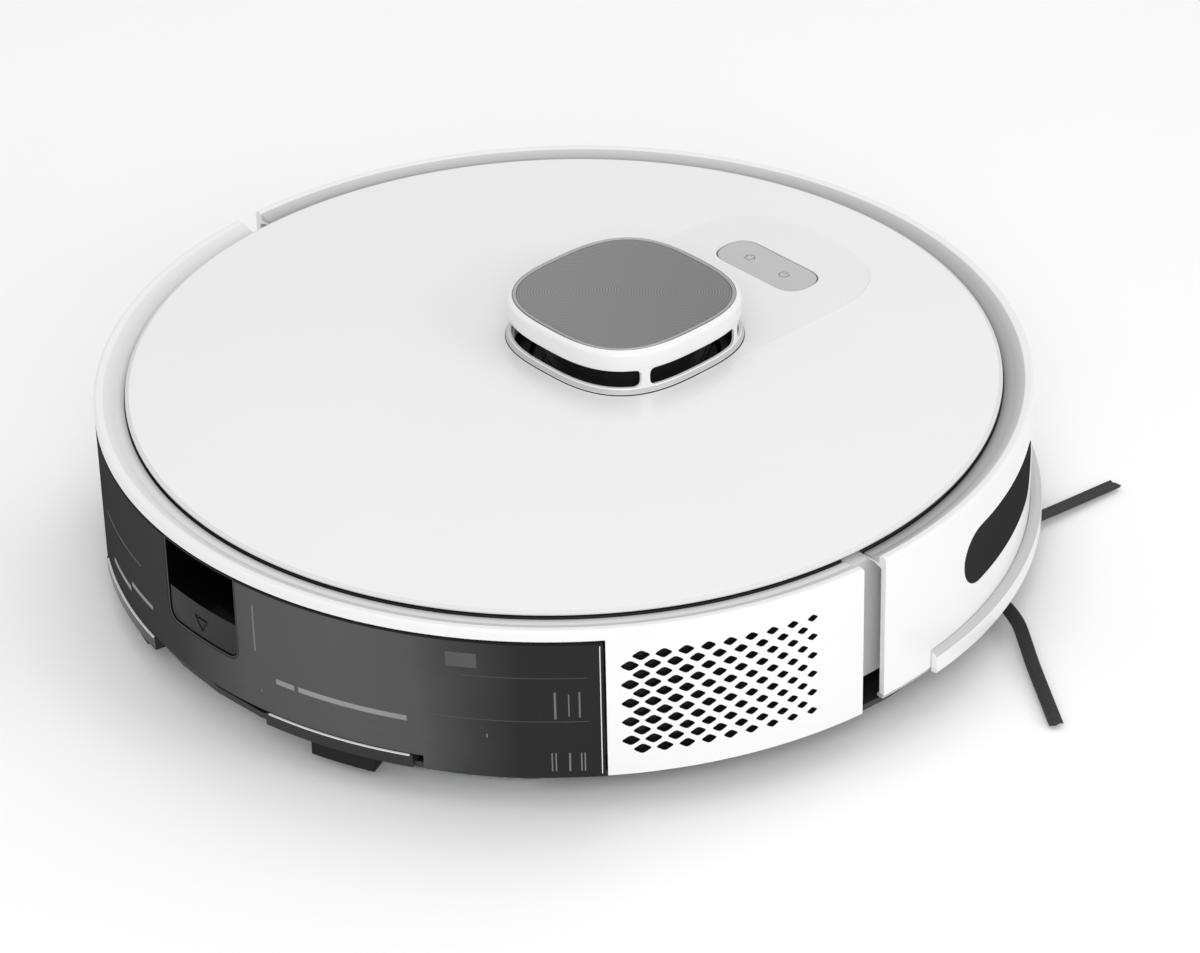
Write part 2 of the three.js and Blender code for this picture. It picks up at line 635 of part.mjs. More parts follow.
function mainRoller() {
  const edges = [-ROLLER_HALF, ...GUARD_BARS, ROLLER_HALF];
  const stars = edges.slice(1).map((edge, i) => rollerStar(
    edges[i] + (i ? 2.5 : 0),
    edge - (i < GUARD_BARS.length ? 2.5 : 0),
  ));
  const core = axle(10.6, [-ROLLER_HALF, ROLLER_HALF], ROLLER_Y, ROLLER_Z, 16);
  return joined(core, ...stars, axle(3.6, [65, 82], ROLLER_Y, ROLLER_Z, 12));
}

const GEARBOX_X = [76, 87.4];
const BRUSH_MOTOR_Y = -18;

function brushGearbox() {
  const block = joined(
    box(GEARBOX_X, [-6, 34], [13.2, 34]),
    axle(11, GEARBOX_X, BRUSH_MOTOR_Y, ROLLER_Z + 9, 20),
    box(GEARBOX_X, [BRUSH_MOTOR_Y, 8], [22, 41]),
  );
  return cut(block, axle(4.2, [70, 83.5], ROLLER_Y, ROLLER_Z, 16));
}

function brushMotor() {
  return axle(9, [38, GEARBOX_X[0] - GAP], BRUSH_MOTOR_Y, ROLLER_Z + 9, 24);
}

function brushGuard() {
  const frame = cut(
    box([-80, 79], [-12, 52], [7.4, 9.7]),
    box([-71, 71], [-3, 43], [0, 20]),
  );
  const bars = GUARD_BARS.map((x) => box([x - 1, x + 1], [-4, 44], [7.4, 9.6]));
  return joined(frame, ...bars);
}

// ---------------------------------------------------------------- suction
function blowerHousing() {
  const [x, y] = BLOWER;
  const drum = moved(disc(BLOWER_R, [14, 60], 32), x, y);
  const snout = box([x, BIN_RIGHT_X - 5.4], [y - 16, y + 16], [24, 50]);
  const hollow = moved(disc(BLOWER_R - 2, [34, 58], 32), x, y);
  const intake = box([x, BIN_RIGHT_X], [y - 14, y + 14], [26, 48]);
  const outlet = box([x - 60, x], [y - 10, y + 10], [36, 56]);
  return cut(joined(drum, snout), hollow, intake, outlet);
}

function blowerImpeller() {
  const [x, y] = BLOWER;
  const plate = disc(20, [36, 38], 24);
  const boss = disc(5, [36, 55], 12);
  const blades = [];
  for (let i = 0; i < 9; i += 1) {
    blades.push(box([4, 19.4], [-0.7, 0.7], [37.5, 53]).rotate([0, 0, 40 * i]));
  }
  return moved(joined(plate, boss, ...blades), x, y);
}

// ---------------------------------------------------------------- dust bin
// Rear angles run either side of straight back; this is the wall's arc between two of them.
const rearSector = (part, from, to) => sector(part, 180 + from, 180 + to);

function binOutline(inset, outerR) {
  const left = BIN_LEFT_X - inset;
  const right = BIN_RIGHT_X + inset;
  const from = 180 - (Math.asin(left / outerR) * 180) / Math.PI;
  const to = 180 + (Math.asin(-right / outerR) * 180) / Math.PI;
  return [[right, BIN_FRONT_Y + inset], [left, BIN_FRONT_Y + inset], ...arc(outerR, from, to, 20)];
}

function binShell() {
  const half = 180 - BIN_START - 0.25;
  const body = prism(binOutline(0, BODY_INNER_R + 0.4), BIN_Z[0], BIN_Z[1]);
  const wall = rearSector(ring(BODY_INNER_R, BODY_R, BIN_Z), -half, half);
  const low = ring(BODY_INNER_R, BODY_R, [SIDE_BOTTOM_Z, BIN_Z[0] + 1]);
  const hollow = prism(binOutline(BIN_WALL, BODY_R - WALL - 1.8), BIN_Z[0] + 2, 80);
  const block = box([-POCKET_HALF - 2, POCKET_HALF + 2], [POCKET_BACK_Y - 2, 168], [POCKET_Z - 2, BIN_Z[1]]);
  const pocket = box([-POCKET_HALF, POCKET_HALF], [POCKET_BACK_Y, 180], [POCKET_Z, 80]);
  const ribs = [-45, 45, 80].map((x) => box([x - 0.8, x + 0.8], [150 - Math.abs(x) / 3, 168 - x * x / 330], [24, 60]));
  const shell = cut(
    joined(body, wall, rearSector(low, -half, -TAB_ANGLES[1] - 1.2), rearSector(low, TAB_ANGLES[1] + 1.2, half)),
    hollow,
  );
  return cut(
    joined(shell, block, ...ribs.map((rib) => rib.intersect(disc(BODY_INNER_R + 0.4, [0, 80])))),
    pocket,
    box([-35, 35], [BIN_FRONT_Y - 1, BIN_FRONT_Y + 4], [28, 45]),
    box([BIN_RIGHT_X - 1, BIN_RIGHT_X + 4], [94, 130], [30, 58]),
  );
}

function binLid() {
  const lid = prism(binOutline(BIN_WALL + GAP, BODY_R - WALL - 1.8 - GAP), BIN_Z[1] - 2.4, BIN_Z[1]);
  const rib = POCKET_HALF + 2 + GAP;
  return cut(
    lid,
    box([-rib, rib], [POCKET_BACK_Y - 2 - GAP, 180], [60, 80]),
    ...[-45, 45, 80].map((x) => box([x - 2, x + 2], [120, 180], [60, 61])),
  );
}

function binLatch() {
  const button = box([-POCKET_HALF + GAP, POCKET_HALF - GAP], [153, 180], [POCKET_Z + GAP, LATCH_TOP_Z]);
  const arrow = throughWall([[-4.2, 2.4], [4.2, 2.4], [0, -3.6]].reverse(), 180, 42, 171, 180);
  return cut(button.intersect(disc(BODY_R - 0.3, [0, 80])), arrow);
}

function filterFrame() {
  const x = [BIN_RIGHT_X + BIN_WALL + GAP, BIN_RIGHT_X + BIN_WALL + 9];
  return cut(box(x, [89, 135], [25, 63]), box([x[0] - 1, x[1] + 1], [93, 131], [29, 59]));
}

function filterPleats() {
  const x = BIN_RIGHT_X + BIN_WALL + 1;
  const outline = [];
  const back = [];
  for (let i = 0; i <= 24; i += 1) {
    const y = 93.4 + i * (37.2 / 24);
    const depth = i % 2 ? 5.6 : 1;
    outline.push([x + depth, y]);
    back.unshift([x + depth + 1.2, y]);
  }
  return prism([...outline, ...back].reverse(), 29.4, 58.6);
}

const FLAP_TOP_Z = 47.4;

function intakeFlap() {
  const y = BIN_FRONT_Y + BIN_WALL + 0.6;
  return joined(
    box([-37, 37], [y, y + 1.2], [26, FLAP_TOP_Z]),
    axle(1.1, [-38, 38], y + 1.1, FLAP_TOP_Z, 12),
  );
}

// ---------------------------------------------------------------- mop
function mopOutline(outerR, half, front) {
  const from = 180 - (Math.asin(half / outerR) * 180) / Math.PI;
  return [[-half, front], [half, front], ...arc(outerR, from, 360 - from, 16)];
}

function mopBracket() {
  const base = prism(mopOutline(160, 112, 74), MOP_Z[0], MOP_Z[1]);
  const tabRing = ring(164.8 + 1.9, BODY_R + 0.8, [SIDE_BOTTOM_Z, BIN_Z[0] - GAP]);
  const foot = ring(156, 169, [MOP_Z[0] + 1, MOP_Z[1]]);
  const riser = ring(166.8, 169, [MOP_Z[0] + 1, SIDE_BOTTOM_Z + 1]);
  const parts = [base];
  for (const side of [-1, 1]) {
    parts.push(rearSector(tabRing, ...span(side, ...TAB_ANGLES)));
    parts.push(rearSector(foot, ...span(side, ...TAB_LEG_ANGLES)));
    parts.push(rearSector(riser, ...span(side, ...TAB_LEG_ANGLES)));
  }
  return joined(...parts);
}

function mopCloth() {
  return prism(mopOutline(157, 108, 78), 0.4, MOP_Z[0] - GAP);
}

// ---------------------------------------------------------------- assembly
add('chassis_base', chassisBase(), dark);
add('upper_housing', upperHousing(), white);
add('top_deck', topDeck(), dark);
add('top_plate', topPlate(), white);
add('rocker_pad', rockerPad(), padGrey);

add('turret_cover', turretCover(), white);
add('turret_inset', turretInset(), grey);
add('lidar_base', lidarBase(), dark);
add('lidar_rotor', lidarRotor(), black);
LENSES.forEach((shape, i) => add(i ? 'lidar_receiver_lens' : 'lidar_emitter_lens', lens(shape), smoked));
add('lidar_motor', lidarMotor(), metal);
add('lidar_pulley', lidarPulley(), white);
add('lidar_belt', lidarBelt(), rubber);

add('bumper_shell', bumperShell(), white);
add('bumper_skirt', bumperSkirt(), white);
add('bumper_strip', bumperStrip(), grey);
add('wall_sensor_window', bumperWindow(WINDOW), black);
add('front_sensor_window', bumperWindow(FRONT_WINDOW), black);

add('battery_pack', batteryPack(), blue);
add('battery_cover', batteryCover(), dark);
add('cover_screw', coverScrew(), metal);
add('main_board', mainBoard(), board);
add('cliff_window_front_left', cliffWindow(26), smoked);
add('cliff_window_front_right', cliffWindow(-26), smoked);
add('cliff_window_side_left', cliffWindow(100), smoked);
add('cliff_window_side_right', cliffWindow(-100), smoked);

for (const [name, side] of [['left', 1], ['right', -1]]) {
  add(`bumper_switch_${name}`, bumperSwitch(side), dark);
  add(`charging_contact_${name}`, chargingContact(side), brass);
  add(`wheel_arm_${name}`, wheelArm(side), dark);
  add(`wheel_hub_${name}`, wheelHub(side), grey);
  add(`wheel_tyre_${name}`, wheelTyre(side), rubber);
  add(`suspension_spring_${name}`, suspensionSpring(side), metal);
}

add('caster_fork', casterFork(), dark);
add('caster_wheel', casterWheel(), padGrey);
add('side_brush_hub', sideBrushHub(), dark);
for (let i = 0; i < 3; i += 1) {
  add(`side_brush_bristles_${i + 1}`, bristleBundle(i), rubber);
}
add('side_brush_motor', sideBrushMotor(), dark);
add('main_brush_roller', mainRoller(), rubber);
add('brush_guard', brushGuard(), dark);
add('brush_motor', brushMotor(), metal);
add('brush_gearbox', brushGearbox(), dark);
add('blower_housing', blowerHousing(), dark);
add('blower_impeller', blowerImpeller(), grey);

add('bin_shell', binShell(), smoked);
add('bin_lid', binLid(), dark);
add('bin_latch_button', binLatch(), dark);
add('bin_filter_frame', filterFrame(), grey);
add('bin_filter', filterPleats(), paper);
add('bin_intake_flap', intakeFlap(), rubber);
add('mop_bracket', mopBracket(), dark);
add('mop_cloth', mopCloth(), cloth);

export default group;
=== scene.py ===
# Looks of the robot floor cleaner: fine shells, materials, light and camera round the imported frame.
import json
import math

import bmesh
import bpy
from mathutils import Matrix, Vector


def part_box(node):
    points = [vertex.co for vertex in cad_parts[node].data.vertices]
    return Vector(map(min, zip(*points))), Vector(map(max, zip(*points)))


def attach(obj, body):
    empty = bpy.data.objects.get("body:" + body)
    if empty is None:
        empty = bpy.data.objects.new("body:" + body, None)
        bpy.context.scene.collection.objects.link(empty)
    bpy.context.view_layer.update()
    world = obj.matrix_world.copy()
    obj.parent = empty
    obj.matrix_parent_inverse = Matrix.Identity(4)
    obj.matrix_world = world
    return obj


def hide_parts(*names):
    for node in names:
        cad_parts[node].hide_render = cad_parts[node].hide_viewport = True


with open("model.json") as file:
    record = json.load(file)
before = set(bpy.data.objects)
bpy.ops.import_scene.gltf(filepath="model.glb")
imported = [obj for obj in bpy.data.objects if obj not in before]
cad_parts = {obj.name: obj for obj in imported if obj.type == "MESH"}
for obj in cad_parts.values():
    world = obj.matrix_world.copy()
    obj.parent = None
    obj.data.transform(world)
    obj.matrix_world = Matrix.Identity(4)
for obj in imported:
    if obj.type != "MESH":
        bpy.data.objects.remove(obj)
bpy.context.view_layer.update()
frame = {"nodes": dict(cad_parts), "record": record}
SCENE = bpy.context.scene

MM = 0.001  # outlines and profiles below are in millimetres; meshes are built in metres


# ---- sizes read from the frame
def edges(node):
    """A node's lowest and highest corner in millimetres."""
    low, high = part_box(node)
    return low / MM, high / MM


BODY_R = edges("bumper_shell")[1].x
CREST_Z = edges("upper_housing")[1].z
SIDE_BOTTOM_Z = edges("upper_housing")[0].z
BUMPER_BOTTOM_Z = edges("bumper_shell")[0].z
PLATE_R = edges("top_plate")[1].x
PLATE_BOTTOM_Z = edges("top_plate")[0].z
PLATE_CROWN_Z = edges("top_plate")[1].z
PLATE_EDGE_Z = PLATE_CROWN_Z - 1.2
CHANNEL_Z = PLATE_BOTTOM_Z - 0.3
RIM_BOTTOM_Z = CREST_Z - 4.6
TURRET_LOW, TURRET_HIGH = edges("turret_cover")
TURRET_Y = (TURRET_LOW.y + TURRET_HIGH.y) / 2
TURRET_HALF = TURRET_HIGH.x - 0.6
TURRET_TOP_Z = edges("turret_inset")[1].z
PAD_LOW, PAD_HIGH = edges("rocker_pad")
PAD_Y = (PAD_LOW.y + PAD_HIGH.y) / 2
PAD_TOP_Z = PAD_HIGH.z
SKIRT_LOW, SKIRT_HIGH = edges("bumper_skirt")
BIN_LOW, BIN_HIGH = edges("bin_shell")
MOP_LOW, MOP_HIGH = edges("mop_bracket")
CLOTH_LOW, CLOTH_HIGH = edges("mop_cloth")
LATCH_LOW, LATCH_HIGH = edges("bin_latch_button")

WALL = 2.4
TURRET_POWER = 2.85  # exponent of the turret's rounded square
INSET_HALF = 36.8
WINDOW_Z = (78.5, 85.7)  # the turret's windows, sill to lintel
BAND_TOP_Z = 93.6
PILLAR_OFFSET = 22.5
PILLAR_HALF = 1.45

BUMPER_END = 92.2  # degrees from straight ahead
PANEL_START = 95.5
BIN_HALF = 52.25  # degrees either side of straight back
TAB_ANGLES = (10.5, 30)
POCKET_HALF = 18.7
POCKET_Z = 36
POCKET_BACK_Y = 150
POCKET_WALL = 1.2
SIDES = (("left", 1), ("right", -1))

# how far cutters run, and sizes that several pieces share
THROUGH_PLATE = (60, 90)
OPEN_TOP = 80
OUTSIDE = 190
SUPPORT_R = 148  # inner radius of the ring under the plate
PANEL_TOP_Z = 71.4
GAP_R = 161  # inner radius of the walls in the gap between bumper and side panel
GAP_BOTTOM_Z = 22
SHARP_ANGLE = 38
FACET_ANGLE = 11  # keeps the rim's facets crisp


# ---- mesh helpers
def polar(r, degrees):
    """A point at radius r; degrees run from straight ahead (-Y) towards the robot's left (+X)."""
    t = math.radians(degrees)
    return r * math.sin(t), -r * math.cos(t)


def piece(name, points, faces, body):
    """A new object of that mesh, in millimetres, riding on a body."""
    mesh = bpy.data.meshes.new(name)
    mesh.from_pydata([(x * MM, y * MM, z * MM) for x, y, z in points], [], faces)
    bm = bmesh.new()
    bm.from_mesh(mesh)
    bmesh.ops.remove_doubles(bm, verts=bm.verts, dist=1e-7)
    bmesh.ops.recalc_face_normals(bm, faces=bm.faces)
    bm.to_mesh(mesh)
    bm.free()
    obj = bpy.data.objects.new(name, mesh)
    SCENE.collection.objects.link(obj)
    if body:
        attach(obj, body)
    return obj


def loft(name, loops, body=None, closed=False):
    """Loops of the same number of points joined in order, with flat ends unless closed."""
    count = len(loops[0])
    points = [p for loop in loops for p in loop]
    faces = []
    rows = len(loops) if closed else len(loops) - 1
    for i in range(rows):
        a, b = i * count, (i + 1) % len(loops) * count
        for j in range(count):
            k = (j + 1) % count
            faces.append((a + j, a + k, b + k, b + j))
    if not closed:
        faces.append(tuple(range(count)))
        faces.append(tuple(range(len(points) - count, len(points))))
    return piece(name, points, faces, body)


def lathe(name, profile, span=None, body=None, steps=None):
    """A closed profile of (radius, height), or a function of degrees giving one, swept round Z."""
    full = span is None
    start, end = span or (-180, 180)
    steps = steps or max(8, round((end - start) * 0.8))
    loops = []
    for i in range(steps if full else steps + 1):
        degrees = start + (end - start) * i / steps
        section = profile(degrees) if callable(profile) else profile
        loops.append([(*polar(r, degrees), z) for r, z in section])
    return loft(name, loops, body, closed=full)


def cross_section(radii, z):
    """A rectangular profile to sweep, between two radii and two heights."""
    return [(radii[0], z[0]), (radii[1], z[0]), (radii[1], z[1]), (radii[0], z[1])]


def mirrored(sign, near, far):
    """A span of degrees on the side that the sign gives: 1 for the robot's left, -1 for its right."""
    return sorted((sign * near, sign * far))


def prism(name, outline, z, body=None):
    """An outline in plan, between two heights."""
    return loft(name, [[(x, y, height) for x, y in outline] for height in z], body)


def box(name, x, y, z):
    return prism(name, [(x[0], y[0]), (x[1], y[0]), (x[1], y[1]), (x[0], y[1])], z)


def round_cutter(radius):
    """A round cutter about the body's axis, taller than the body."""
    return lathe("round", [(0, 0), (radius, 0), (radius, 90), (0, 90)], steps=360)


def arc(centre, radius, start, end, steps):
    """Points on a circle; degrees run from +X towards +Y."""
    turn = [math.radians(start + (end - start) * i / steps) for i in range(steps + 1)]
    return [(centre[0] + radius * math.cos(t), centre[1] + radius * math.sin(t)) for t in turn]


def rounded(outline, radius, steps=4):
    """The outline with each corner turned into a smooth bend that starts radius away from it."""
    result = []
    for i, corner in enumerate(outline):
        here = Vector(corner)
        before = (Vector(outline[i - 1]) - here).normalized() * radius + here
        after = (Vector(outline[(i + 1) % len(outline)]) - here).normalized() * radius + here
        for j in range(steps + 1):
            t = j / steps
            result.append(tuple(before * (1 - t) ** 2 + here * 2 * t * (1 - t) + after * t * t))
    return result


def rectangle(half_x, half_y):
    return [(-half_x, -half_y), (half_x, -half_y), (half_x, half_y), (-half_x, half_y)]


def rounded_square(half, power=TURRET_POWER, count=160):
    """The turret's plan at a given half width."""
    points = []
    for i in range(count):
        t = 2 * math.pi * (i + 0.5) / count
        stretch = (abs(math.cos(t)) ** power + abs(math.sin(t)) ** power) ** (-1 / power)
        points.append((half * stretch * math.cos(t), TURRET_Y + half * stretch * math.sin(t)))
    return points


def plug(name, outline, degrees, middle_z, near, far):
    """A prism through the round wall: the outline runs across and up, the prism outwards."""
    out, across = Vector(polar(1, degrees)), Vector(polar(1, degrees + 90))
    loops = []
    for r in (near, far):
        flat = [out * r + across * u for u, _ in outline]
        loops.append([(p.x, p.y, middle_z + v) for p, (_, v) in zip(flat, outline)])
    return loft(name, loops)


def combine(obj, others, operation="DIFFERENCE", keep_materials=False):
    """Cuts the others out of obj, or joins or keeps what they share, and removes them."""
    for other in others:
        modifier = obj.modifiers.new("boolean", "BOOLEAN")
        modifier.operation = operation
        modifier.solver = "EXACT"
        modifier.object = other
        if keep_materials:
            modifier.material_mode = "TRANSFER"
    bake(obj)
    for other in others:
        bpy.data.objects.remove(other)
    return obj


def bake(obj):
    """Applies an object's modifiers to its mesh."""
    depsgraph = bpy.context.evaluated_depsgraph_get()
    made = bpy.data.meshes.new_from_object(obj.evaluated_get(depsgraph))
    obj.modifiers.clear()
    obj.data = made
    return obj


def merged(name, objects):
    """One mesh object holding the others' meshes, as a single cutter."""
    points, faces = [], []
    for obj in objects:
        start = len(points)
        points += [tuple(v.co / MM) for v in obj.data.vertices]
        faces += [tuple(start + i for i in polygon.vertices) for polygon in obj.data.polygons]
        bpy.data.objects.remove(obj)
    return piece(name, points, faces, None)


def soften(obj, width=0.35, angle=32, segments=2):
    """Small moulded radii along the sharp edges, and smooth shading everywhere else."""
    if width:
        bevel = obj.modifiers.new("radius", "BEVEL")
        bevel.width = width * MM
        bevel.segments = segments
        bevel.limit_method = "ANGLE"
        bevel.angle_limit = math.radians(angle)
        bake(obj)
    obj.data.shade_smooth()
    obj.data.set_sharp_from_angle(angle=math.radians(SHARP_ANGLE))
    normals = obj.modifiers.new("normals", "WEIGHTED_NORMAL")
    normals.keep_sharp = True
    return obj


def dress(obj, look):
    """Gives the whole object one of MATERIALS."""
    obj.data.materials.clear()
    obj.data.materials.append(MATERIALS[look])
    return obj


def paint(obj, look, chosen):
    """Gives one more material to the faces whose centre (mm) and normal pass the test."""
    obj.data.materials.append(MATERIALS[look])
    index = len(obj.data.materials) - 1
    for face in obj.data.polygons:
        if chosen(face.center / MM, face.normal):
            face.material_index = index


# ---- materials
def grey(value):
    return value, value, value


def shades(colour, factor, lift=0.0):
    """The colour made lighter or darker by a factor."""
    return tuple(min(1, c * factor + lift) for c in colour)


def add_node(tree, kind, inputs, **settings):
    """A shader node whose inputs each hold a plain value or are linked from a socket."""
    node = tree.nodes.new(kind)
    for setting, value in settings.items():
        setattr(node, setting, value)
    for key, value in inputs.items():
        if isinstance(value, bpy.types.NodeSocket):
            tree.links.new(value, node.inputs[key])
        else:
            node.inputs[key].default_value = value
    return node


def material(name, colour, roughness, metallic=0.0, specular=0.5, coat=0.0):
    """A Principled material, and its node tree, shader and object coordinates."""
    made = bpy.data.materials.new(name)
    made.use_nodes = True
    tree = made.node_tree
    shader = tree.nodes["Principled BSDF"]
    values = {
        "Base Color": (*colour, 1), "Roughness": roughness, "Metallic": metallic,
        "Specular IOR Level": specular, "Coat Weight": coat, "Coat Roughness": 0.06,
    }
    for key, value in values.items():
        shader.inputs[key].default_value = value
    return made, tree, shader, add_node(tree, "ShaderNodeTexCoord", {}).outputs["Object"]


def noise(tree, vector, scale, detail=3.0, stretch=None):
    """A noise texture's value; scale is in features per metre."""
    if stretch:
        vector = add_node(tree, "ShaderNodeMapping", {"Vector": vector, "Scale": stretch}).outputs["Vector"]
    inputs = {"Vector": vector, "Scale": scale, "Detail": detail}
    return add_node(tree, "ShaderNodeTexNoise", inputs).outputs["Fac"]


def spread(tree, value, low, high, start=0.0, end=1.0):
    """Maps a value between start and end to the range from low to high."""
    inputs = {"Value": value, "From Min": start, "From Max": end, "To Min": low, "To Max": high}
    return add_node(tree, "ShaderNodeMapRange", inputs).outputs["Result"]


def ramp(tree, shader, value, stops):
    """Drives the base colour by a value, through (position, colour) stops."""
    node = add_node(tree, "ShaderNodeValToRGB", {"Fac": value})
    elements = node.color_ramp.elements
    while len(elements) < len(stops):
        elements.new(1)
    for element, (position, colour) in zip(elements, stops):
        element.position = position
        element.color = (*colour, 1)
    tree.links.new(node.outputs["Color"], shader.inputs["Base Color"])


def tint(tree, shader, value, dark, light, positions=(0.3, 0.7)):
    """Drives the base colour between two colours by a value."""
    ramp(tree, shader, value, list(zip(positions, (dark, light))))


def bump(tree, shader, value, distance, strength=1.0):
    """Adds a relief of that depth in metres to the shader, on top of any relief it has."""
    inputs = {"Height": value, "Distance": distance, "Strength": strength}
    previous = shader.inputs["Normal"].links
    if previous:
        inputs["Normal"] = previous[0].from_socket
    relief = add_node(tree, "ShaderNodeBump", inputs)
    tree.links.new(relief.outputs["Normal"], shader.inputs["Normal"])


def calc(tree, operation, *inputs):
    """A math node's result."""
    return add_node(tree, "ShaderNodeMath", dict(enumerate(inputs)), operation=operation).outputs[0]


def separate(tree, vector):
    """The vector's X, Y and Z."""
    return add_node(tree, "ShaderNodeSeparateXYZ", {0: vector}).outputs


def from_axis(tree, vector):
    """The vector's distance from the Z axis."""
    flat = add_node(tree, "ShaderNodeVectorMath", {0: vector, 1: (1, 1, 0)}, operation="MULTIPLY")
    length = add_node(tree, "ShaderNodeVectorMath", {0: flat.outputs["Vector"]}, operation="LENGTH")
    return length.outputs["Value"]


def wave(tree, phase):
    """A sine of the phase, moved to 0 to 1."""
    return calc(tree, "MULTIPLY_ADD", calc(tree, "SINE", phase), 0.5, 0.5)


def ring_lines(tree, at, centre, pitch):
    """Fine concentric waves round a point of the XY plane, 0 to 1."""
    middle = (centre[0] * MM, centre[1] * MM, 0)
    offset = add_node(tree, "ShaderNodeVectorMath", {0: at, 1: middle}, operation="SUBTRACT")
    radius = from_axis(tree, offset.outputs["Vector"])
    return wave(tree, calc(tree, "MULTIPLY", radius, 2 * math.pi / (pitch * MM)))


def choose(tree, factor, first, second):
    """The first value where the factor is 0 and the second where it is 1."""
    return add_node(tree, "ShaderNodeMix", {0: factor, 2: first, 3: second}).outputs[0]


def moulded(name, colour, roughness, grain=0.00001, scale=1800, coat=0.0, vary=0.03, specular=0.5):
    """Moulded plastic: fine surface texture, faint flow variation in colour and gloss."""
    made, tree, shader, at = material(name, colour, roughness, coat=coat, specular=specular)
    tint(tree, shader, noise(tree, at, 14), shades(colour, 1 - vary), shades(colour, 1 + vary))
    gloss = spread(tree, noise(tree, at, 260), roughness * 0.85, roughness * 1.15)
    tree.links.new(gloss, shader.inputs["Roughness"])
    bump(tree, shader, noise(tree, at, scale, 4), grain, 0.6)
    return made


def turned_inset():
    """Satin grey with two families of fine arcs that meet in a slanted hatch across the middle, and a painted
    sheen lighter on one side of it.
    """
    made, tree, shader, at = material("turret_inset_grey", (0.22, 0.22, 0.222), 0.34, specular=0.45)
    reach, pitch = 15.0, 1.05  # of the arcs' centres from the turret's, and between arcs, in mm
    hatch_half, swing_size, painted_sheen_reach = 0.0022, 0.004, 0.044  # in metres
    swing_rate, hatch_rates = 62, (4200, 5200)  # radians per metre
    left = ring_lines(tree, at, (reach, TURRET_Y + reach), pitch)
    right = ring_lines(tree, at, (-reach, TURRET_Y - reach), pitch)
    x, y, _ = separate(tree, at)
    y = calc(tree, "SUBTRACT", y, TURRET_Y * MM)
    across = calc(tree, "ADD", x, y)
    along = calc(tree, "SUBTRACT", y, x)
    turns = calc(tree, "SINE", calc(tree, "MULTIPLY", along, swing_rate))
    side = calc(tree, "ADD", across, calc(tree, "MULTIPLY", turns, swing_size))
    arcs = choose(tree, calc(tree, "GREATER_THAN", side, 0.0), right, left)
    slants = [calc(tree, "MULTIPLY", way, rate) for way, rate in zip((along, side), hatch_rates)]
    hatch = wave(tree, calc(tree, "ADD", *slants))
    near_seam = calc(tree, "LESS_THAN", calc(tree, "ABSOLUTE", side), hatch_half)
    lines = choose(tree, near_seam, arcs, hatch)
    tint(tree, shader, lines, (0.17, 0.17, 0.172), (0.25, 0.25, 0.252), (0.1, 0.9))
    plain = shader.inputs["Base Color"].links[0].from_socket
    # painted sheen: the colour is multiplied by 0.82 to 0.97 across the hatch, a painted highlight of the turned
    # surface
    painted_sheen = spread(tree, across, 0.82, 0.97, -painted_sheen_reach, painted_sheen_reach)
    painted_sheen_mix = add_node(tree, "ShaderNodeMix", {}, data_type="RGBA", blend_type="MULTIPLY")
    painted_sheen_mix.inputs[0].default_value = 1
    tree.links.new(plain, painted_sheen_mix.inputs[6])
    tree.links.new(painted_sheen, painted_sheen_mix.inputs[7])
    tree.links.new(painted_sheen_mix.outputs[2], shader.inputs["Base Color"])
    bump(tree, shader, lines, 0.00003, 0.5)
    bump(tree, shader, noise(tree, at, 2600, 2), 0.000004, 0.4)
    return made


def smoked_wall_with_painted_light():
    """The bin's smoked plastic: dark, with painted light in a lighter band that stands in for the reflection
    across the wall and the lit tub behind it.
    """
    made, tree, shader, at = material("bin_smoke", grey(0.05), 0.14, specular=0.0)
    x, y, _ = separate(tree, at)
    half = math.radians(BIN_HALF)
    share = spread(tree, calc(tree, "ARCTAN2", x, y), 0, 1, -half, half)
    painted_light_place = calc(tree, "MULTIPLY_ADD", noise(tree, at, 24), 0.05, share)
    # painted light: the greys rise from dark ends to a lighter band about a third of the way across; the shader's
    # own specular is off
    stops = [(0.0, 0.025), (0.12, 0.028), (0.17, 0.05), (0.23, 0.088), (0.32, 0.10), (0.45, 0.095),
             (0.56, 0.052), (1.0, 0.046)]
    ramp(tree, shader, painted_light_place, [(position, grey(value)) for position, value in stops])
    tree.links.new(spread(tree, noise(tree, at, 40), 0.09, 0.16), shader.inputs["Roughness"])
    return made


def white_with_painted_channel_shade(name, near, middle, far):
    """The shell's white with painted shade: grey down the slope of the channel, a painted shadow dark in the
    groove by the plate, and near black under the plate.
    """
    made, tree, shader, at = material(name, WHITE, 0.3, coat=0.25)
    radius = from_axis(tree, at)
    share = spread(tree, radius, 0, 1, 160 * MM, 170 * MM)
    height = separate(tree, at)[2]
    below_rim = calc(tree, "LESS_THAN", height, 71.3 * MM)
    on_wall = calc(tree, "MAXIMUM", below_rim, share)
    groove = calc(tree, "MULTIPLY", calc(tree, "GREATER_THAN", radius, 159 * MM),
                       calc(tree, "LESS_THAN", radius, 160.98 * MM))
    painted_shade_place = calc(tree, "MULTIPLY", on_wall, calc(tree, "SUBTRACT", 1, groove))
    # painted shade: near black in the groove and under the plate, then the near, middle and far greys up the
    # slope, white above it
    stops = [(0.0, 0.02), (0.09, 0.04), (0.11, near), (0.3, middle), (0.85, far), (0.885, 0.82)]
    ramp(tree, shader, painted_shade_place, [(position, grey(value)) for position, value in stops])
    bump(tree, shader, noise(tree, at, 900, 4), 0.000006, 0.6)
    return made


def metal(name, colour, roughness, stretch):
    """Drawn or plated metal with fine lines along one way."""
    made, tree, shader, at = material(name, colour, roughness, metallic=1.0)
    lines = noise(tree, at, 900, 2, stretch)
    tree.links.new(spread(tree, lines, roughness * 0.7, roughness * 1.4), shader.inputs["Roughness"])
    tint(tree, shader, noise(tree, at, 60), shades(colour, 0.92), shades(colour, 1.05))
    bump(tree, shader, lines, 0.000006, 0.5)
    return made


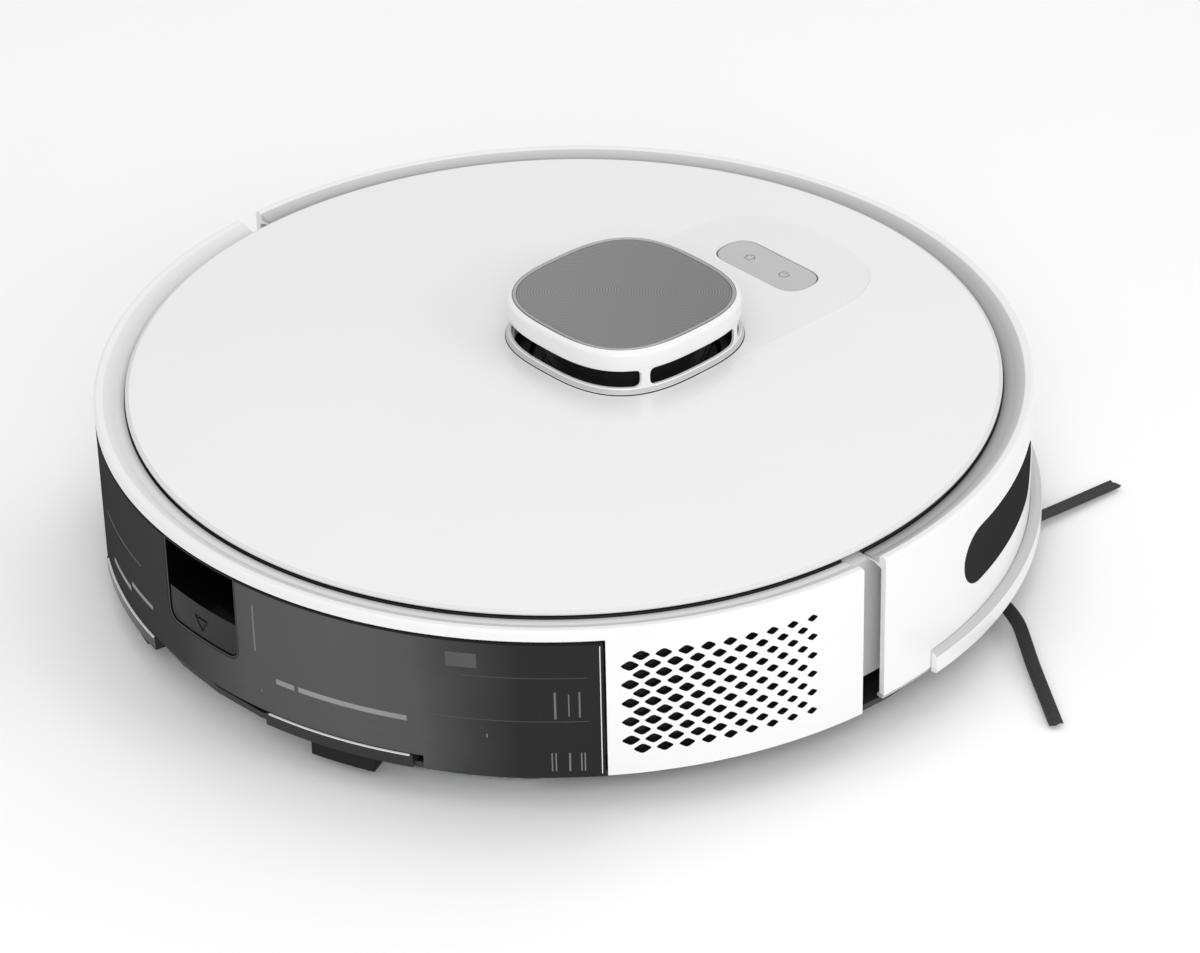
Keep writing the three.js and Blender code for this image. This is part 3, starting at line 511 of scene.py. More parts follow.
def pile(name, colour):
    """Looped microfibre pile: rows of small loops with a soft sheen, and painted shade that is lighter on the loop
    tops and darker in the hollows.
    """
    made, tree, shader, at = material(name, colour, 0.95, specular=0.15)
    cells = add_node(tree, "ShaderNodeTexVoronoi", {"Scale": 620, "Vector": at}).outputs["Distance"]
    # painted shade: the loops' centres are lighter and the hollows between them darker
    tint(tree, shader, cells, shades(colour, 1.25), shades(colour, 0.55), (0.1, 0.75))
    shader.inputs["Sheen Weight"].default_value = 0.35
    shader.inputs["Sheen Roughness"].default_value = 0.5
    bump(tree, shader, cells, -0.0006, 0.8)
    bump(tree, shader, noise(tree, at, 90), 0.0006, 0.5)
    return made


def pleated_paper(name, colour):
    """Filter paper with long fibres."""
    made, tree, shader, at = material(name, colour, 0.9, specular=0.2)
    fibres = noise(tree, at, 1400, 5, (1, 1, 0.25))
    tint(tree, shader, fibres, shades(colour, 0.85), colour)
    bump(tree, shader, fibres, 0.00005, 0.6)
    return made


def circuit(name, colour):
    """Solder mask with faint traces."""
    made, tree, shader, at = material(name, colour, 0.4)
    traces = add_node(tree, "ShaderNodeTexBrick", {"Scale": 160, "Mortar Size": 0.03, "Vector": at}).outputs["Fac"]
    tint(tree, shader, traces, colour, shades(colour, 2.2, 0.02))
    bump(tree, shader, traces, 0.00003, 0.5)
    return made


WHITE = (0.82, 0.822, 0.82)
FINE = {"grain": 0.000006, "scale": 900}
INLAY = {"grain": 0.00001, "specular": 0.2}
MOULDED = {  # colour, roughness, and what else moulded() takes
    "white_shell": (WHITE, 0.3, {**FINE, "coat": 0.25, "vary": 0.006}),
    "white_panel": ((0.79, 0.792, 0.79), 0.34, {**FINE, "coat": 0.2, "vary": 0.006}),
    # a darker white that paints the shade on the plate's edge
    "plate_edge_painted_shade": (grey(0.70), 0.35, {**FINE, "vary": 0.006}),
    # a grey that paints the shade on the upward faces of ledges
    "ledge_painted_shade": (grey(0.52), 0.4, {**FINE, "vary": 0.01}),
    # white painted grey: the shade on the walls in the gap beside the bumper
    "gap_painted_shade": (grey(0.60), 0.5, {"scale": 1200, "vary": 0.02}),
    # near black standing in for shade: hole walls, gaps between parts and what lies under the body
    "painted_shadow_black": (grey(0.012), 0.5, {"specular": 0.15}),
    # near black, darker than the bin's plastic: painted shade deep in the finger recess
    "recess_painted_shade_black": (grey(0.003), 0.12, {"grain": 0.000002, "specular": 0.35}),
    "latch_black": (grey(0.012), 0.4, {"grain": 0.000003, "vary": 0.05, "specular": 0.2}),
    "sensor_black": ((0.030, 0.030, 0.031), 0.25, {"grain": 0.000002, "vary": 0.05, "specular": 0.0}),
    "inset_edge": ((0.36, 0.36, 0.365), 0.25, {"grain": 0.000004, "coat": 0.3}),
    "pad_grey": (grey(0.5), 0.4, {"grain": 0.000006, "scale": 1600}),
    "grey_trim": ((0.42, 0.42, 0.425), 0.45, {}),
    "icon_grey": (grey(0.2), 0.5, {}),
    "dark_plastic": ((0.022, 0.022, 0.023), 0.45, {"grain": 0.000005, "scale": 1500, "vary": 0.06}),
    # a light grey for painted glints and highlights
    "painted_glint_white": (grey(0.8), 0.4, {"vary": 0.05}),
    "bin_inner": (grey(0.05), 0.5, {}),
    "bin_smoke_solid": ((0.028, 0.028, 0.029), 0.2, {"grain": 0.000004, "specular": 0.2}),
    "bin_rib": (grey(0.24), 0.3, {**INLAY, "vary": 0.25}),
    "bin_faint": (grey(0.085), 0.3, {**INLAY, "vary": 0.2}),
    "bin_mark": (grey(0.16), 0.3, {**INLAY, "vary": 0.2}),
    "bristle": (grey(0.022), 0.45, {"grain": 0.00002, "vary": 0.2}),
    "rubber": ((0.02, 0.02, 0.021), 0.75, {"grain": 0.00004, "scale": 1300, "vary": 0.15}),
    "tyre": ((0.024, 0.024, 0.025), 0.85, {"grain": 0.00006, "scale": 1000, "vary": 0.2}),
    "battery_wrap": ((0.03, 0.16, 0.42), 0.25, {"grain": 0.00003, "scale": 300, "coat": 0.3}),
    "lens": ((0.03, 0.02, 0.035), 0.05, {"grain": 0.000001, "coat": 1.0}),
}
MATERIALS = {
    # lit and shaded copies of the painted channel shade: the bumper's front copy is painted darker
    "white_rim": white_with_painted_channel_shade("white_rim", 0.46, 0.67, 0.74),
    "white_rim_front": white_with_painted_channel_shade("white_rim_front", 0.18, 0.32, 0.54),
    "grey_inset": turned_inset(),
    "bin_smoke": smoked_wall_with_painted_light(),
    "steel": metal("steel", (0.6, 0.61, 0.62), 0.3, (1, 1, 0.05)),
    "contact_metal": metal("contact_metal", (0.78, 0.77, 0.73), 0.22, (0.05, 1, 1)),
    "circuit_board": circuit("circuit_board", (0.02, 0.12, 0.05)),
    "filter_paper": pleated_paper("filter_paper", (0.75, 0.73, 0.68)),
    "mop_fabric": pile("mop_fabric", (0.33, 0.35, 0.37)),
}
for look, (colour, roughness, rest) in MOULDED.items():
    MATERIALS[look] = moulded(look, colour, roughness, **rest)


def carry_over():
    """Every CAD node that stays gets its record slot's material."""
    for row in frame["record"]["subparts"]:
        dress(frame["nodes"][row["node"]], row["material_slot"])


# ---- upper shell
def rim_profile(outer_top, inner):
    """The rolled rim: up the wall, over the rounded crest and down the sloping channel."""
    crest = arc((BODY_R - 1.2, CREST_Z - 1.2), 1.2, 0, 96, 12)
    slope = [(168.9, 74.35), (164.9, 72.6), (161.05, CHANNEL_Z)]
    groove_z = CHANNEL_Z - 0.9
    return [(BODY_R, outer_top), *crest, *slope, (160.95, groove_z), (160.2, groove_z), (159.9, CHANNEL_Z), *inner]


def upper_housing():
    """Rim and support ring from panel to panel, with a side panel below it on each side."""
    rear = (PANEL_START, 360 - PANEL_START)
    inner = [(SUPPORT_R, CHANNEL_Z), (SUPPORT_R, RIM_BOTTOM_Z), (BODY_R - 0.6, RIM_BOTTOM_Z)]
    shell = lathe("upper_rim", rim_profile(RIM_BOTTOM_Z + 0.6, inner), rear, "chassis", steps=240)
    walls = []
    for name, sign in SIDES:
        back_r = BODY_R - WALL
        wall = [(BODY_R, SIDE_BOTTOM_Z), (BODY_R, PANEL_TOP_Z), (back_r, PANEL_TOP_Z), (back_r, SIDE_BOTTOM_Z)]
        panel = lathe(f"side_panel_{name}", wall, mirrored(sign, PANEL_START, 180 - BIN_HALF - 0.25), steps=48)
        back = cross_section((GAP_R, BODY_R - 1), (GAP_BOTTOM_Z, PANEL_TOP_Z))
        combine(panel, [lathe("return", back, mirrored(sign, PANEL_START, PANEL_START + 0.8))], "UNION")
        walls.append(panel)
        inner_walls = (
            ("gap_wall", (GAP_R, 163.4), (GAP_BOTTOM_Z, 71.1), 0.9, 0.3),
            ("gap_ledge", (SUPPORT_R, 163.2), (RIM_BOTTOM_Z, 71.2), 3, 0.2),
        )
        for kind, radii, z, past, softness in inner_walls:
            span = mirrored(sign, PANEL_START - 9, PANEL_START + past)
            part = lathe(f"{kind}_{name}", cross_section(radii, z), span, "chassis", steps=16)
            # the gap's walls get painted shade
            dress(soften(part, softness), "gap_painted_shade")
    combine(shell, walls, "UNION")
    soften(shell, 0.3)
    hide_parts("upper_housing")
    dress(shell, "white_rim")
    shell.modifiers.clear()
    combine(shell, [grille_holes()], keep_materials=True)
    shell.data.set_sharp_from_angle(angle=math.radians(FACET_ANGLE))
    shell.modifiers.new("weighted", "WEIGHTED_NORMAL").keep_sharp = True


def grille_holes():
    """Rounded diamonds in 18 columns that shrink towards the bumper."""
    columns, first, last = 18, -124.8, -102.7
    pitch_z, middle_z = 7.7, 43.9
    holes = []
    for column in range(columns):
        t = column / (columns - 1)
        across, up = 3.6 - 1.25 * t, 2.3 - 0.72 * t
        count = 6 if column % 2 else 5
        outline = rounded([(across, 0), (0, up), (-across, 0), (0, -up)], 1.2 - 0.4 * t, 3)
        for row in range(count):
            z = middle_z + (row - (count - 1) / 2) * pitch_z
            degrees = first + (last - first) * t
            holes.append(plug(f"hole_{column}_{row}", outline, degrees, z, 167, 175))
    # the cutters carry the near black onto the holes' walls: painted shade inside the holes
    return dress(merged("holes", holes), "painted_shadow_black")


def plate_height(r):
    """The crown's height at that radius."""
    return PLATE_EDGE_Z + (PLATE_CROWN_Z - PLATE_EDGE_Z) * (1 - (r / PLATE_R) ** 2)


def plate_solid(name, lift=0.0):
    """The plate's crowned disc; lift raises its top face."""
    edge = [(PLATE_R - 2.2, PLATE_BOTTOM_Z), (PLATE_R, PLATE_BOTTOM_Z + 1.1), (PLATE_R, PLATE_EDGE_Z - 0.75),
            (PLATE_R - 1.4, PLATE_EDGE_Z - 0.02)]
    rings = [158, 150, 138, 124, 108, 90, 70, 48, 24]
    crown = [(r, plate_height(r) + lift) for r in rings]
    return lathe(name, [(0, PLATE_BOTTOM_Z), *edge, *crown, (0, PLATE_CROWN_Z + lift)], steps=256)


def panel_outline(grow=0.0):
    """The control panel's U: straight sides from the turret and a full rounded front."""
    half, tip, start, power = 41.7 + grow, -135.7 - grow, -95.0, 2.8
    front = []
    for i in range(49):
        t = math.pi * i / 48
        c, s = math.cos(t), math.sin(t)
        x = math.copysign(abs(c) ** (2 / power), c) * half
        front.append((x, start - abs(s) ** (2 / power) * (start - tip)))
    back = TURRET_Y
    return [(half - 1.4, back), (half - 0.3, back - 14), *front, (-half + 0.3, back - 14), (-half + 1.4, back)]


def top_plate():
    """The crowned lid, with its control panel as a second, slightly raised surface."""
    gap = 0.45
    pad_gap = rounded(rectangle(PAD_HIGH.x + gap, (PAD_HIGH.y - PAD_LOW.y) / 2 + gap), 9.2, 10)
    pad_hole = [(x, y + PAD_Y) for x, y in pad_gap]
    turret_hole = rounded_square(TURRET_HALF - 2.2)
    plate = plate_solid("top_plate_shell")
    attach(plate, "chassis")
    combine(plate, [prism("u", panel_outline(0.02), THROUGH_PLATE), prism("t", turret_hole, THROUGH_PLATE)])
    soften(plate, 0.3, 20)
    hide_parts("top_plate")
    dress(plate, "white_shell")
    # painted shade: the plate's edge faces get the darker white
    paint(plate, "plate_edge_painted_shade", lambda centre, normal: centre.xy.length > 159 and normal.z < 0.96)
    panel = plate_solid("control_panel", 0.08)
    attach(panel, "chassis")
    combine(panel, [prism("u", panel_outline(-0.02), THROUGH_PLATE)], "INTERSECT")
    combine(panel, [prism("t", turret_hole, THROUGH_PLATE), prism("p", pad_hole, THROUGH_PLATE)])
    soften(panel, 0.4, 20)
    dress(panel, "white_panel")


def ribbon(name, line, width, z, height, closed, body):
    """A flat raised line of that width along a list of points."""
    count, loops = len(line), []
    for i, point in enumerate(line):
        before = Vector(line[i - 1] if closed or i else line[0])
        after = Vector(line[(i + 1) % count] if closed or i + 1 < count else line[-1])
        aside = (after - before).orthogonal().normalized() * width / 2
        a, b = Vector(point) + aside, Vector(point) - aside
        loops.append([(a.x, a.y, z), (b.x, b.y, z), (b.x, b.y, z + height), (a.x, a.y, z + height)])
    return loft(name, loops, body, closed=closed)


def rocker_pad():
    """The two-ended button: home at the robot's left end, power at its right end."""
    half_y = (PAD_HIGH.y - PAD_LOW.y) / 2
    loops = []
    for inset, z in ((0, PAD_LOW.z + 1.5), (0, PAD_TOP_Z - 0.5), (0.15, PAD_TOP_Z - 0.15), (0.5, PAD_TOP_Z)):
        outline = rounded(rectangle(PAD_HIGH.x - inset, half_y - inset), 9.0 - inset, 12)
        loops.append([(x, y + PAD_Y, z) for x, y in outline])
    pad = loft("button_pad", loops, "button")
    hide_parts("rocker_pad")
    dress(soften(pad, 0), "pad_grey")
    rest_z, rise, icon_x, line_width = PAD_TOP_Z - 0.02, 0.06, 9.2, 0.42
    house = [(-1.5, -1.8), (-1.5, 0.1), (-2.3, 0.1), (0, 2.1), (2.3, 0.1), (1.5, 0.1), (1.5, -1.8)]
    icons = (
        ("home", [(icon_x + x, PAD_Y - y) for x, y in house], True),
        ("power_ring", arc((-icon_x, PAD_Y), 1.9, -55, 235, 28), False),
        ("power_bar", [(-icon_x, PAD_Y - 0.3), (-icon_x, PAD_Y - 2.3)], False),
    )
    for name, line, closed in icons:
        icon = ribbon(f"icon_{name}", line, line_width, rest_z, rise, closed, "button")
        dress(icon, "icon_grey")


# ---- turret
def square_loft(name, steps, closed=False, power=TURRET_POWER):
    """Turret-shaped loops at each (half width, height), on the chassis."""
    loops = [[(x, y, z) for x, y in rounded_square(half, power)] for half, z in steps]
    return loft(name, loops, "chassis", closed=closed)


def window_cutter(name, y):
    """A bar with rounded edges that crosses the turret along X and cuts a pair of windows."""
    low, high = WINDOW_Z
    middle, half_z = (low + high) / 2, (high - low) / 2
    centre, half_y = (y[0] + y[1]) / 2, (y[1] - y[0]) / 2
    outline = rounded(rectangle(half_y, half_z), 2.6, 5)
    loops = [[(x, centre + u, middle + v) for u, v in outline] for x in (-60, 60)]
    return loft(name, loops)


def turret():
    """The turret's cover with its windows, a dark ring that paints the shadow in the gap round its foot, and the
    grey inset in its top.
    """
    half, top = TURRET_HALF, BAND_TOP_Z
    base = PLATE_CROWN_Z + 0.12
    roof_z = (91.2, 92.4)  # underside of the cover's top, and floor of the inset's seat
    beyond = 90
    sill, lintel = WINDOW_Z
    outer = [
        (half + 0.2, base), (half + 0.6, base + 0.15), (half + 0.65, base + 0.5), (half + 0.35, base + 1.1),
        (half - 0.15, sill - 0.5), (half - 0.35, sill), (half - 0.35, lintel - 0.3), (half - 0.3, lintel + 0.1),
        (half - 0.05, lintel + 0.9), (half, lintel + 1.8), (half, top - 2.2), (half - 0.15, top - 1.4),
        (half - 0.5, top - 0.8), (half - 1.2, top - 0.3), (half - 1.9, top - 0.05),
        (INSET_HALF + 0.6, top),
    ]
    inner = [(INSET_HALF + 0.5, top - 0.3), (INSET_HALF + 0.5, roof_z[1]), (half - 6, roof_z[1]),
             (half - 6, roof_z[0]), (half - 1.3, roof_z[0]), (half - 1.3, base)]
    cover = square_loft("turret_shell", outer + inner, closed=True)
    fore = (TURRET_Y - beyond, TURRET_Y - PILLAR_OFFSET - PILLAR_HALF)
    aft = (TURRET_Y + PILLAR_OFFSET + PILLAR_HALF, TURRET_Y + beyond)
    middle = (TURRET_Y - PILLAR_OFFSET + PILLAR_HALF, TURRET_Y + PILLAR_OFFSET - PILLAR_HALF)
    combine(cover, [window_cutter(f"window_{i}", y) for i, y in enumerate((fore, aft, middle))])
    soften(cover, 0.3, 34, 3)
    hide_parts("turret_cover")
    dress(cover, "white_shell")
    # painted shade: the flange's upward faces at the turret's foot are painted grey
    paint(cover, "ledge_painted_shade", lambda centre, normal: centre.z < sill - 0.4 and 0.15 < normal.z < 0.97)
    # painted shadow: a dark ring in the gap between the turret's foot and the plate
    gap = square_loft("turret_gap_painted_shadow", [
        (half + 0.85, base - 0.35), (half + 0.85, base - 0.06), (half - 1, base - 0.06), (half - 1, base - 0.35),
    ], closed=True)
    dress(gap, "dark_plastic")
    lip = INSET_HALF
    edge = square_loft("inset_bezel", [
        (lip, 92.7), (lip, top - 0.15), (lip - 0.2, top + 0.2), (lip - 0.6, top + 0.3),
        (lip - 1.2, top - 0.05), (lip - 1.2, 92.7),
    ], closed=True, power=3)
    dress(soften(edge, 0), "inset_edge")
    # painted shadow: a black ring in the seam round the inset
    seam = square_loft("inset_seam_painted_shadow", [
        (lip + 0.45, 92.5), (lip + 0.45, 93.3), (lip + 0.04, 93.3), (lip + 0.04, 92.5),
    ], closed=True)
    dress(seam, "painted_shadow_black")
    disc = lip - 1.3
    crown = [(disc, 92.7), (disc, top - 0.25), (disc - 0.6, top + 0.1)]
    for r in (33, 29, 24, 16, 8, 0.5):
        crown.append((r, top + 0.2 + (TURRET_TOP_Z - top - 0.2) * (1 - (r / disc) ** 2)))
    inset = square_loft("turret_inset_disc", crown, power=3)
    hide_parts("turret_inset")
    dress(soften(inset, 0), "grey_inset")


# ---- bumper
WALL_WINDOW = {"degrees": -64.25, "half": (39.4, 11.4), "z": 49}
FRONT_WINDOW = {"degrees": 0, "half": (34, 8), "z": 50}


def window_plug(shape, grow):
    """An oval plug through the bumper's wall, grown by a clearance."""
    half_x, radius = (h + grow for h in shape["half"])
    straight = half_x - radius
    outline = arc((straight, 0), radius, -90, 90, 20) + arc((-straight, 0), radius, 90, 270, 20)
    return plug("window_plug", outline, shape["degrees"], shape["z"], 150, 180)


def bumper():
    """The bumper's shell with its two dark windows, and its skirt."""
    span = (-BUMPER_END, BUMPER_END)
    inner = [(158.5, CHANNEL_Z), (158.5, 70.6), (166, 70.6), (BODY_R - WALL, 69.5),
             (BODY_R - WALL, BUMPER_BOTTOM_Z)]
    shell = lathe("bumper_body", rim_profile(BUMPER_BOTTOM_Z, inner), span, "bumper", steps=184)
    clearance = 0.15
    combine(shell, [window_plug(WALL_WINDOW, clearance), window_plug(FRONT_WINDOW, clearance)])
    soften(shell, 0.3)
    shell.data.set_sharp_from_angle(angle=math.radians(FACET_ANGLE))
    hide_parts("bumper_shell")
    dress(shell, "white_rim_front")
    for name, shape in (("wall_sensor_window", WALL_WINDOW), ("front_sensor_window", FRONT_WINDOW)):
        pane = window_plug(shape, 0)
        ring = lathe("ring", cross_section((BODY_R - 2, BODY_R - 0.1), (20, 68)), steps=360)
        combine(pane, [ring], "INTERSECT")
        pane.name = f"{name}_pane"
        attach(pane, "bumper")
        soften(pane, 0.25)
        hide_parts(name)
        dress(pane, "sensor_black")
    skirt()


def skirt():
    """The low lip round the bumper: its circle stands ahead of the body's, so it grows towards the front."""
    forward, end = 3.0, 84.1  # mm that its centre stands ahead, and degrees to each end
    radius = -SKIRT_LOW.y - forward
    low, high = SKIRT_LOW.z, SKIRT_HIGH.z

    def section(degrees):
        t = math.radians(degrees)
        outer = forward * math.cos(t) + math.sqrt(radius ** 2 - (forward * math.sin(t)) ** 2)
        inner = BODY_R + 0.15
        return [
            (inner, low), (outer - 0.9, low), (outer - 0.3, low + 0.25), (outer, low + 0.9), (outer, high - 2.3),
            (outer - 0.1, high - 1.95), (outer - 0.4, high - 1.65), (outer - 2.4, high), (inner, high),
        ]

    lip = lathe("bumper_lip", section, (-end, end), "bumper", steps=170)
    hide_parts("bumper_skirt")
    dress(soften(lip, 0.25, 45), "white_shell")
    # painted shade: the lip's upward faces are painted grey
    paint(lip, "ledge_painted_shade", lambda centre, normal: normal.z > 0.35)
    strip_low, strip_high = edges("bumper_strip")
    strip = cross_section((168.4, 171.4), (strip_low.z, strip_high.z))
    seal = lathe("bumper_seal", strip, (-BUMPER_END, BUMPER_END), "bumper")
    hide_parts("bumper_strip")
    dress(soften(seal, 0.3), "grey_trim")


# ---- dust bin
def rear(angles):
    """A span either side of straight back as degrees from straight ahead."""
    return 180 - angles[1], 180 - angles[0]


def wall_ring(name, radii, z, angles, body=None, steps=None):
    """A rectangular section swept between two angles either side of straight back."""
    return lathe(name, cross_section(radii, z), rear(angles), body, steps)


def bin_plan(inset, outer_r):
    """The tub's outline seen from above: straight front and sides, round back."""
    left, right = edges("bin_lid")[1].x + 2.5 - inset, edges("bin_lid")[0].x - 2.5 + inset
    start = math.degrees(math.acos(left / outer_r))
    end = math.degrees(math.acos(right / outer_r))
    return [(right, BIN_LOW.y + inset), (left, BIN_LOW.y + inset), *arc((0, 0), outer_r, start, end, 60)]


def pocket_outline(half, low, high, corner):
    """A slot open at the top with rounded bottom corners, across and up."""
    middle = half - corner
    left = arc((-middle, low + corner), corner, 180, 270, 6)
    right = arc((middle, low + corner), corner, 270, 360, 6)
    return [(-half, high), *left, *right, (half, high)]


def along_y(name, outline, y, body=None):
    """An outline seen from behind, between two depths."""
    loops = [[(x, depth, z) for x, z in outline] for depth in y]
    return loft(name, loops, body)


def mouth(y, top=OPEN_TOP):
    """The finger recess with its wall, as a solid that is open at the top."""
    return along_y("mouth", pocket_outline(POCKET_HALF + POCKET_WALL, POCKET_Z - POCKET_WALL, top, 5.2), y)


def dust_bin():
    """The smoked wall, the tub behind it, the finger recess, black strips in the gaps round them that paint the
    shadow there, and a painted glint at each end.
    """
    low, high = BIN_LOW.z + 5.1, BIN_HIGH.z
    outer = (BODY_R - 0.7, BODY_R)
    reach = BIN_HALF - 0.3
    wall = wall_ring("bin_smoked_wall", outer, (low, high - 0.6), (-reach, reach), "bin", 120)
    corner_z = (SIDE_BOTTOM_Z, low + 0.5)
    combine(wall, [
        wall_ring("corner", outer, corner_z, mirrored(sign, TAB_ANGLES[1] + 1.2, reach)) for sign in (-1, 1)
    ], "UNION")
    combine(wall, [mouth((140, OUTSIDE))])
    soften(wall, 0.4)
    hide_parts("bin_shell")
    dress(wall, "bin_smoke")

    tub = prism("bin_tub", bin_plan(0.2, 167.2), (low, high - 2.6), "bin")
    combine(tub, [
        prism("hollow", bin_plan(2.2, 165), (low + 2, 90)),
        box("intake", (-35, 35), (70, 80), (28, 45)),
        box("filter_mouth", (-80, -66), (94, 130), (30, 58)),
        mouth((POCKET_BACK_Y - 1, OUTSIDE)),
    ])
    dress(soften(tub, 0.3), "bin_inner")

    pocket = mouth((POCKET_BACK_Y - POCKET_WALL, OUTSIDE), high)
    pocket.name = "finger_recess"
    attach(pocket, "bin")
    combine(pocket, [along_y("inside", pocket_outline(POCKET_HALF, POCKET_Z, OPEN_TOP, 4), (POCKET_BACK_Y, 200))])
    combine(pocket, [round_cutter(BODY_R - 0.15)], "INTERSECT")
    # the finger recess gets the near black: painted shade
    dress(soften(pocket, 0.25), "recess_painted_shade_black")

    # painted shadow: black strips in the gaps along the bin's top and ends
    line_r = (166, BODY_R - 0.3)
    top_z = (high - 0.55, high)
    top_painted_shadow = wall_ring("bin_top_painted_shadow", line_r, top_z, (-BIN_HALF, BIN_HALF), "bin", 120)
    dress(top_painted_shadow, "painted_shadow_black")
    for side, sign in reversed(SIDES):
        # at each end, a painted shadow line in the gap and a painted glint beside it
        lines = (
            ("line", line_r, (SIDE_BOTTOM_Z, high - 0.6), (0.28, 0), "painted_shadow_black"),
            ("edge", (BODY_R - 0.6, BODY_R + 0.02), (SIDE_BOTTOM_Z + 1, high - 1.4), (0.44, 0.34), "painted_glint_white"),
        )
        for kind, radii, z, inside, look in lines:
            span = mirrored(sign, BIN_HALF - inside[0], BIN_HALF - inside[1])
            dress(wall_ring(f"bin_end_painted_{kind}_{side}", radii, z, span, "bin", 4), look)
    latch()
    bin_ribs()


def latch():
    """The spring latch below the finger recess, with an engraved pointer."""
    face, pointer_z = BODY_R - 0.6, 42
    plate = pocket_outline(LATCH_HIGH.x, LATCH_LOW.z, LATCH_HIGH.z, 3.8)
    button = along_y("latch_button", plate, (LATCH_LOW.y, OUTSIDE), "bin_latch")
    combine(button, [round_cutter(face)], "INTERSECT")
    outer = rounded([(-4.4, 2.6), (0, -3.6), (4.4, 2.6)], 0.7)
    inner = rounded([(-2.6, 1.6), (0, -2.0), (2.6, 1.6)], 0.4)
    groove = plug("groove", outer, 180, pointer_z, face - 0.5, OUTSIDE)
    combine(groove, [plug("island", inner, 180, pointer_z, face - 5, 195)])
    combine(button, [groove])
    soften(button, 0.3)
    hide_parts("bin_latch_button")
    dress(button, "latch_black")
    # the latch's top faces in the recess get the near black: painted shade
    paint(button, "recess_painted_shade_black", lambda centre, normal: normal.z > 0.6 and centre.z > LATCH_HIGH.z - 1)


# what shows dimly through the smoked wall: degrees from straight back, then heights
BIN_RIBS = [
    ((17.5, 24.5), (27.5, 29.5)), ((10.8, 16.9), (30.9, 32.7)), ((-14.8, -12.2), (33.2, 35.3)),
    ((-29.4, -15.4), (33.3, 35.4)), ((13.3, 26.6), (45.2, 45.6)), ((-9.2, -6.0), (27.8, 28.1)),
    ((-32.2, -12.5), (27.2, 27.45)), ((-9.4, -9.15), (43.6, 62.7)), ((-37.9, -34.3), (58.8, 64.6)),
    ((-46.8, -46.55), (38.8, 49.9)), ((-49.55, -49.35), (39.4, 49.9)), ((-48.3, -48.15), (40, 49)),
    *((angles, (17.1, 24.7)) for angles in (
        (-46.25, -46.1), (-46.7, -46.55), (-48.3, -48.1), (-49.6, -49.45), (-50.0, -49.85))),
    ((-50.4, -36), (55.5, 55.7)),
    ((-50.4, -32), (37.6, 37.8)), ((-38.9, -38.7), (30.3, 31.9)), ((-10.0, -9.8), (27.1, 28.1)),
]


def bin_ribs():
    """Ribs, seals and fixings behind the smoked wall, laid into its face: long, faint or short marks."""
    radii = (BODY_R - 0.5, BODY_R + 0.03)
    for i, (angles, z) in enumerate(BIN_RIBS):
        rib = wall_ring(f"bin_rib_{i + 1}", radii, z, angles, "bin", 14)
        wide, tall = angles[1] - angles[0], z[1] - z[0]
        look = "bin_rib" if wide > 2 and 1.5 < tall < 4 else "bin_faint" if wide > 1 else "bin_mark"
        dress(rib, look)


# ---- mop
def mop_plan(outer_r, half, front, steps=48):
    """A straight front and sides with a round back."""
    start = math.degrees(math.acos(half / outer_r))
    return [(-half, front), (half, front), *arc((0, 0), outer_r, start, 180 - start, steps)]


def mop():
    """The clip-on mop plate: its two tabs show as ledges under the bin."""
    low, high = MOP_LOW.z, 9.6
    base = prism("mop_plate", rounded(mop_plan(160, 112, MOP_LOW.y), 1.2, 2), (low, high), "mop")
    for sign in (-1, 1):
        leg = mirrored(sign, 16, 24.5)
        combine(base, [
            wall_ring("tab", (166.7, BODY_R + 0.8), (14.5, MOP_HIGH.z), mirrored(sign, *TAB_ANGLES)),
            wall_ring("foot", (156, 169), (low + 1, high), leg),
            wall_ring("riser", (166.8, 169), (low + 1, 15.5), leg),
        ], "UNION")
    soften(base, 0.5)
    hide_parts("mop_bracket")
    dress(base, "dark_plastic")
    paint(base, "bin_smoke_solid", lambda centre, normal: centre.z > 14)
    # painted shade: the leg and foot under each tab are painted near black
    paint(base, "painted_shadow_black", lambda centre, normal: centre.xy.length > 160 and centre.z < 14.4)
    # painted highlight: a light strip along each tab's top edge
    lit_r, lit_z = (BODY_R + 0.1, BODY_R + 0.84), (MOP_HIGH.z - 0.3, MOP_HIGH.z + 0.04)
    for side, sign in SIDES:
        angles = mirrored(sign, TAB_ANGLES[0] + 0.4, TAB_ANGLES[1] - 0.4)
        dress(wall_ring(f"tab_painted_highlight_{side}", lit_r, lit_z, angles, "mop"), "painted_glint_white")
    mop_cloth()


def mop_cloth():
    """A pile pad with a rolled edge, swollen a little between its edges."""
    low, high = CLOTH_LOW.z, CLOTH_HIGH.z
    loops = []
    steps = ((3.0, high), (0.8, high - 0.5), (0, high - 1.6), (0.2, low + 1.8), (1.4, low + 0.6), (5, low + 0.25),
             (16, low))
    for inset, z in steps:
        plan = rounded(mop_plan(CLOTH_HIGH.y - inset, CLOTH_HIGH.x - inset, CLOTH_LOW.y + inset, 60), 2.0, 3)
        loops.append([(x, y, z) for x, y in plan])
    cloth = loft("mop_pad", loops, "mop")
    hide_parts("mop_cloth")
    dress(soften(cloth, 0), "mop_fabric")


# ---- wheels and brushes
def about_x(loops, centre):
    """Loops of (x, across, up) placed round an axle along X."""
    return [[(x, centre.y + a, centre.z + b) for x, a, b in loop] for loop in loops]


